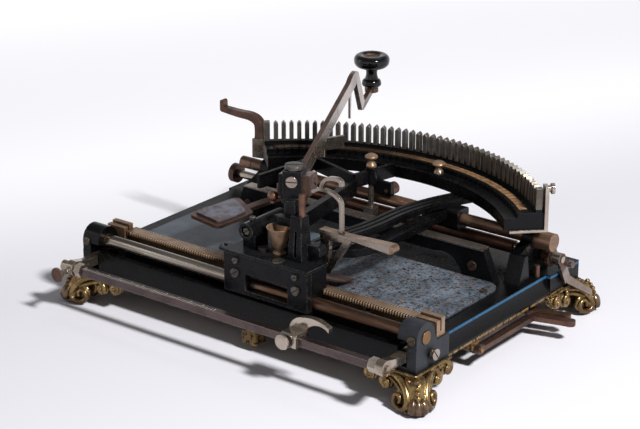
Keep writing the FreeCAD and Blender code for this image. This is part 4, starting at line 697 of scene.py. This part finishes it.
# Letters and lines lie on the index strip, and marks on the near upper edge of the bail bar.
strip_low, strip_high = box_mm("index_strip")
strip_radius = PIVOT.y - strip_low.y
LETTER_SIZE, LETTER_RADIUS, LETTER_TOP = 5.0, strip_radius - 3.25, strip_high.z + 0.04
LINE_RADII, LINE_HALF = (strip_radius - 6.3, strip_radius - 0.2), 0.22
LINE_LOW, LINE_TOP = strip_high.z - 0.05, strip_high.z + 0.12
bar_low, bar_high = box_mm("bail_bar")
MARKS, FIRST_MARK, MARK_HALF = 56, bar_high.x - 10.2, 0.35
MARK_NEAR, MARK_LOW, MARK_TOP = bar_high.y - 0.25, bar_high.z - 0.05, bar_high.z + 0.025
SHORT_MARK, LONG_MARK = 3.0, 4.4


def comb_ways(step):
    """The directions along the index strip and in towards the pivot, so many fins from the middle."""
    angle = math.radians(FIN_PITCH * step)
    return Vector((math.cos(angle), math.sin(angle), 0)), Vector((-math.sin(angle), math.cos(angle), 0))


letters = Shape()
for k, sign in enumerate(LETTERS):
    text = bpy.data.curves.new("sign", "FONT")
    text.body, text.size = sign, 1.0
    text.align_x, text.align_y = "CENTER", "CENTER"
    text.resolution_u = 3
    carrier = bpy.data.objects.new("sign", text)
    scene.collection.objects.link(carrier)
    flat = carrier.to_mesh()
    across, inward = comb_ways(k - (len(LETTERS) - 1) / 2)
    middle = PIVOT - inward * LETTER_RADIUS + UP * LETTER_TOP
    first = len(letters.points)
    letters.points += [middle + across * v.co.x * LETTER_SIZE + inward * v.co.y * LETTER_SIZE
                       for v in flat.vertices]
    letters.faces += [tuple(first + n for n in face.vertices) for face in flat.polygons]
    letters.inks += [0] * len(flat.polygons)
    carrier.to_mesh_clear()
    bpy.data.objects.remove(carrier)
    bpy.data.curves.remove(text)
letters.build("index_letters", "carriage", (letter_ink,))

marks = Shape()
for k in range(MARKS):
    x = FIRST_MARK - LETTER_SPACE * k
    far = MARK_NEAR - (SHORT_MARK if k % 5 else LONG_MARK)
    section = ((far, MARK_LOW), (MARK_NEAR, MARK_LOW), (MARK_NEAR, MARK_TOP), (far, MARK_TOP))
    marks.rings([[(end, y, z) for y, z in section] for end in (x - MARK_HALF, x + MARK_HALF)])
marks.build("bail_scale", "bail", (tick_paint,))

lines = Shape()
for k in range(len(LETTERS) + 1):
    across, inward = comb_ways(k - len(LETTERS) / 2)
    section = ((-LINE_HALF, LINE_LOW), (LINE_HALF, LINE_LOW), (LINE_HALF, LINE_TOP), (-LINE_HALF, LINE_TOP))
    lines.rings([[PIVOT - inward * radius + across * side + UP * z for side, z in section]
                 for radius in LINE_RADII])
lines.build("index_cells", "carriage", (letter_ink,))

# ---------------------------------------------------------------- floor, lights and sky
LAMP_TARGET = Vector((0, 0, 0.05))

floor_mesh = bpy.data.meshes.new("floor")
floor_mesh.from_pydata([(-8, -14, 0), (8, -14, 0), (8, 4, 0), (-8, 4, 0)], [], [(0, 1, 2, 3)])
floor = bpy.data.objects.new("floor", floor_mesh)
scene.collection.objects.link(floor)
m = Maker("floor_white")
# The floor glows for camera and glossy rays: far out as a white backdrop, and nearer the machine, on the
# side away from the key lamp, as painted light up to a third as strong.
away = m.dot(m.place, (0.8, -0.45, 0))
backdrop_and_painted_light = m.plus(m.ramp(away, 0.08, 0.42, 0.0, 0.34), m.ramp(away, 0.5, 1.5, 0.0, 0.6))
for name, value in (("Base Color", rgb("e3e2e8")), ("Roughness", 0.9), ("Specular IOR Level", 0.0),
                    ("Emission Color", rgb("ffffff")),
                    ("Emission Strength", m.times(m.looked_at(), backdrop_and_painted_light))):
    m.put(m.shader, name, value)
floor_mesh.materials.append(m.material)


def lamp(name, place, size, power):
    light = bpy.data.lights.new(name, "AREA")
    light.shape = "RECTANGLE"
    light.size, light.size_y = size
    light.energy = power
    thing = bpy.data.objects.new(name, light)
    scene.collection.objects.link(thing)
    thing.location = place
    thing.rotation_mode = "QUATERNION"
    thing.rotation_quaternion = (LAMP_TARGET - Vector(place)).to_track_quat("-Z", "Y")


lamp("key", (-1.72, 0.36, 1.84), (0.28, 0.28), 82)
lamp("top", (0.3, -1.2, 2.2), (1.6, 0.5), 3.0)
lamp("left", (1.9, 1.3, 0.9), (0.5, 1.3), 3.0)
lamp("near", (-0.5, 2.6, 1.5), (1.4, 0.4), 2.2)

scene.world = bpy.data.worlds.new("studio")
scene.world.use_nodes = True
w = Graph(scene.world.node_tree, "Generated")
ceiling = w.ramp(w.axis("Z"), 0.12, 0.6, 1.0, 0.22, kind="LINEAR")
background = w.tree.nodes["Background"]
w.put(background, "Color", (0.93, 0.935, 0.965, 1))
w.put(background, "Strength", w.blend(w.looked_at(), 0.13, ceiling))
scene.view_settings.view_transform = "Standard"
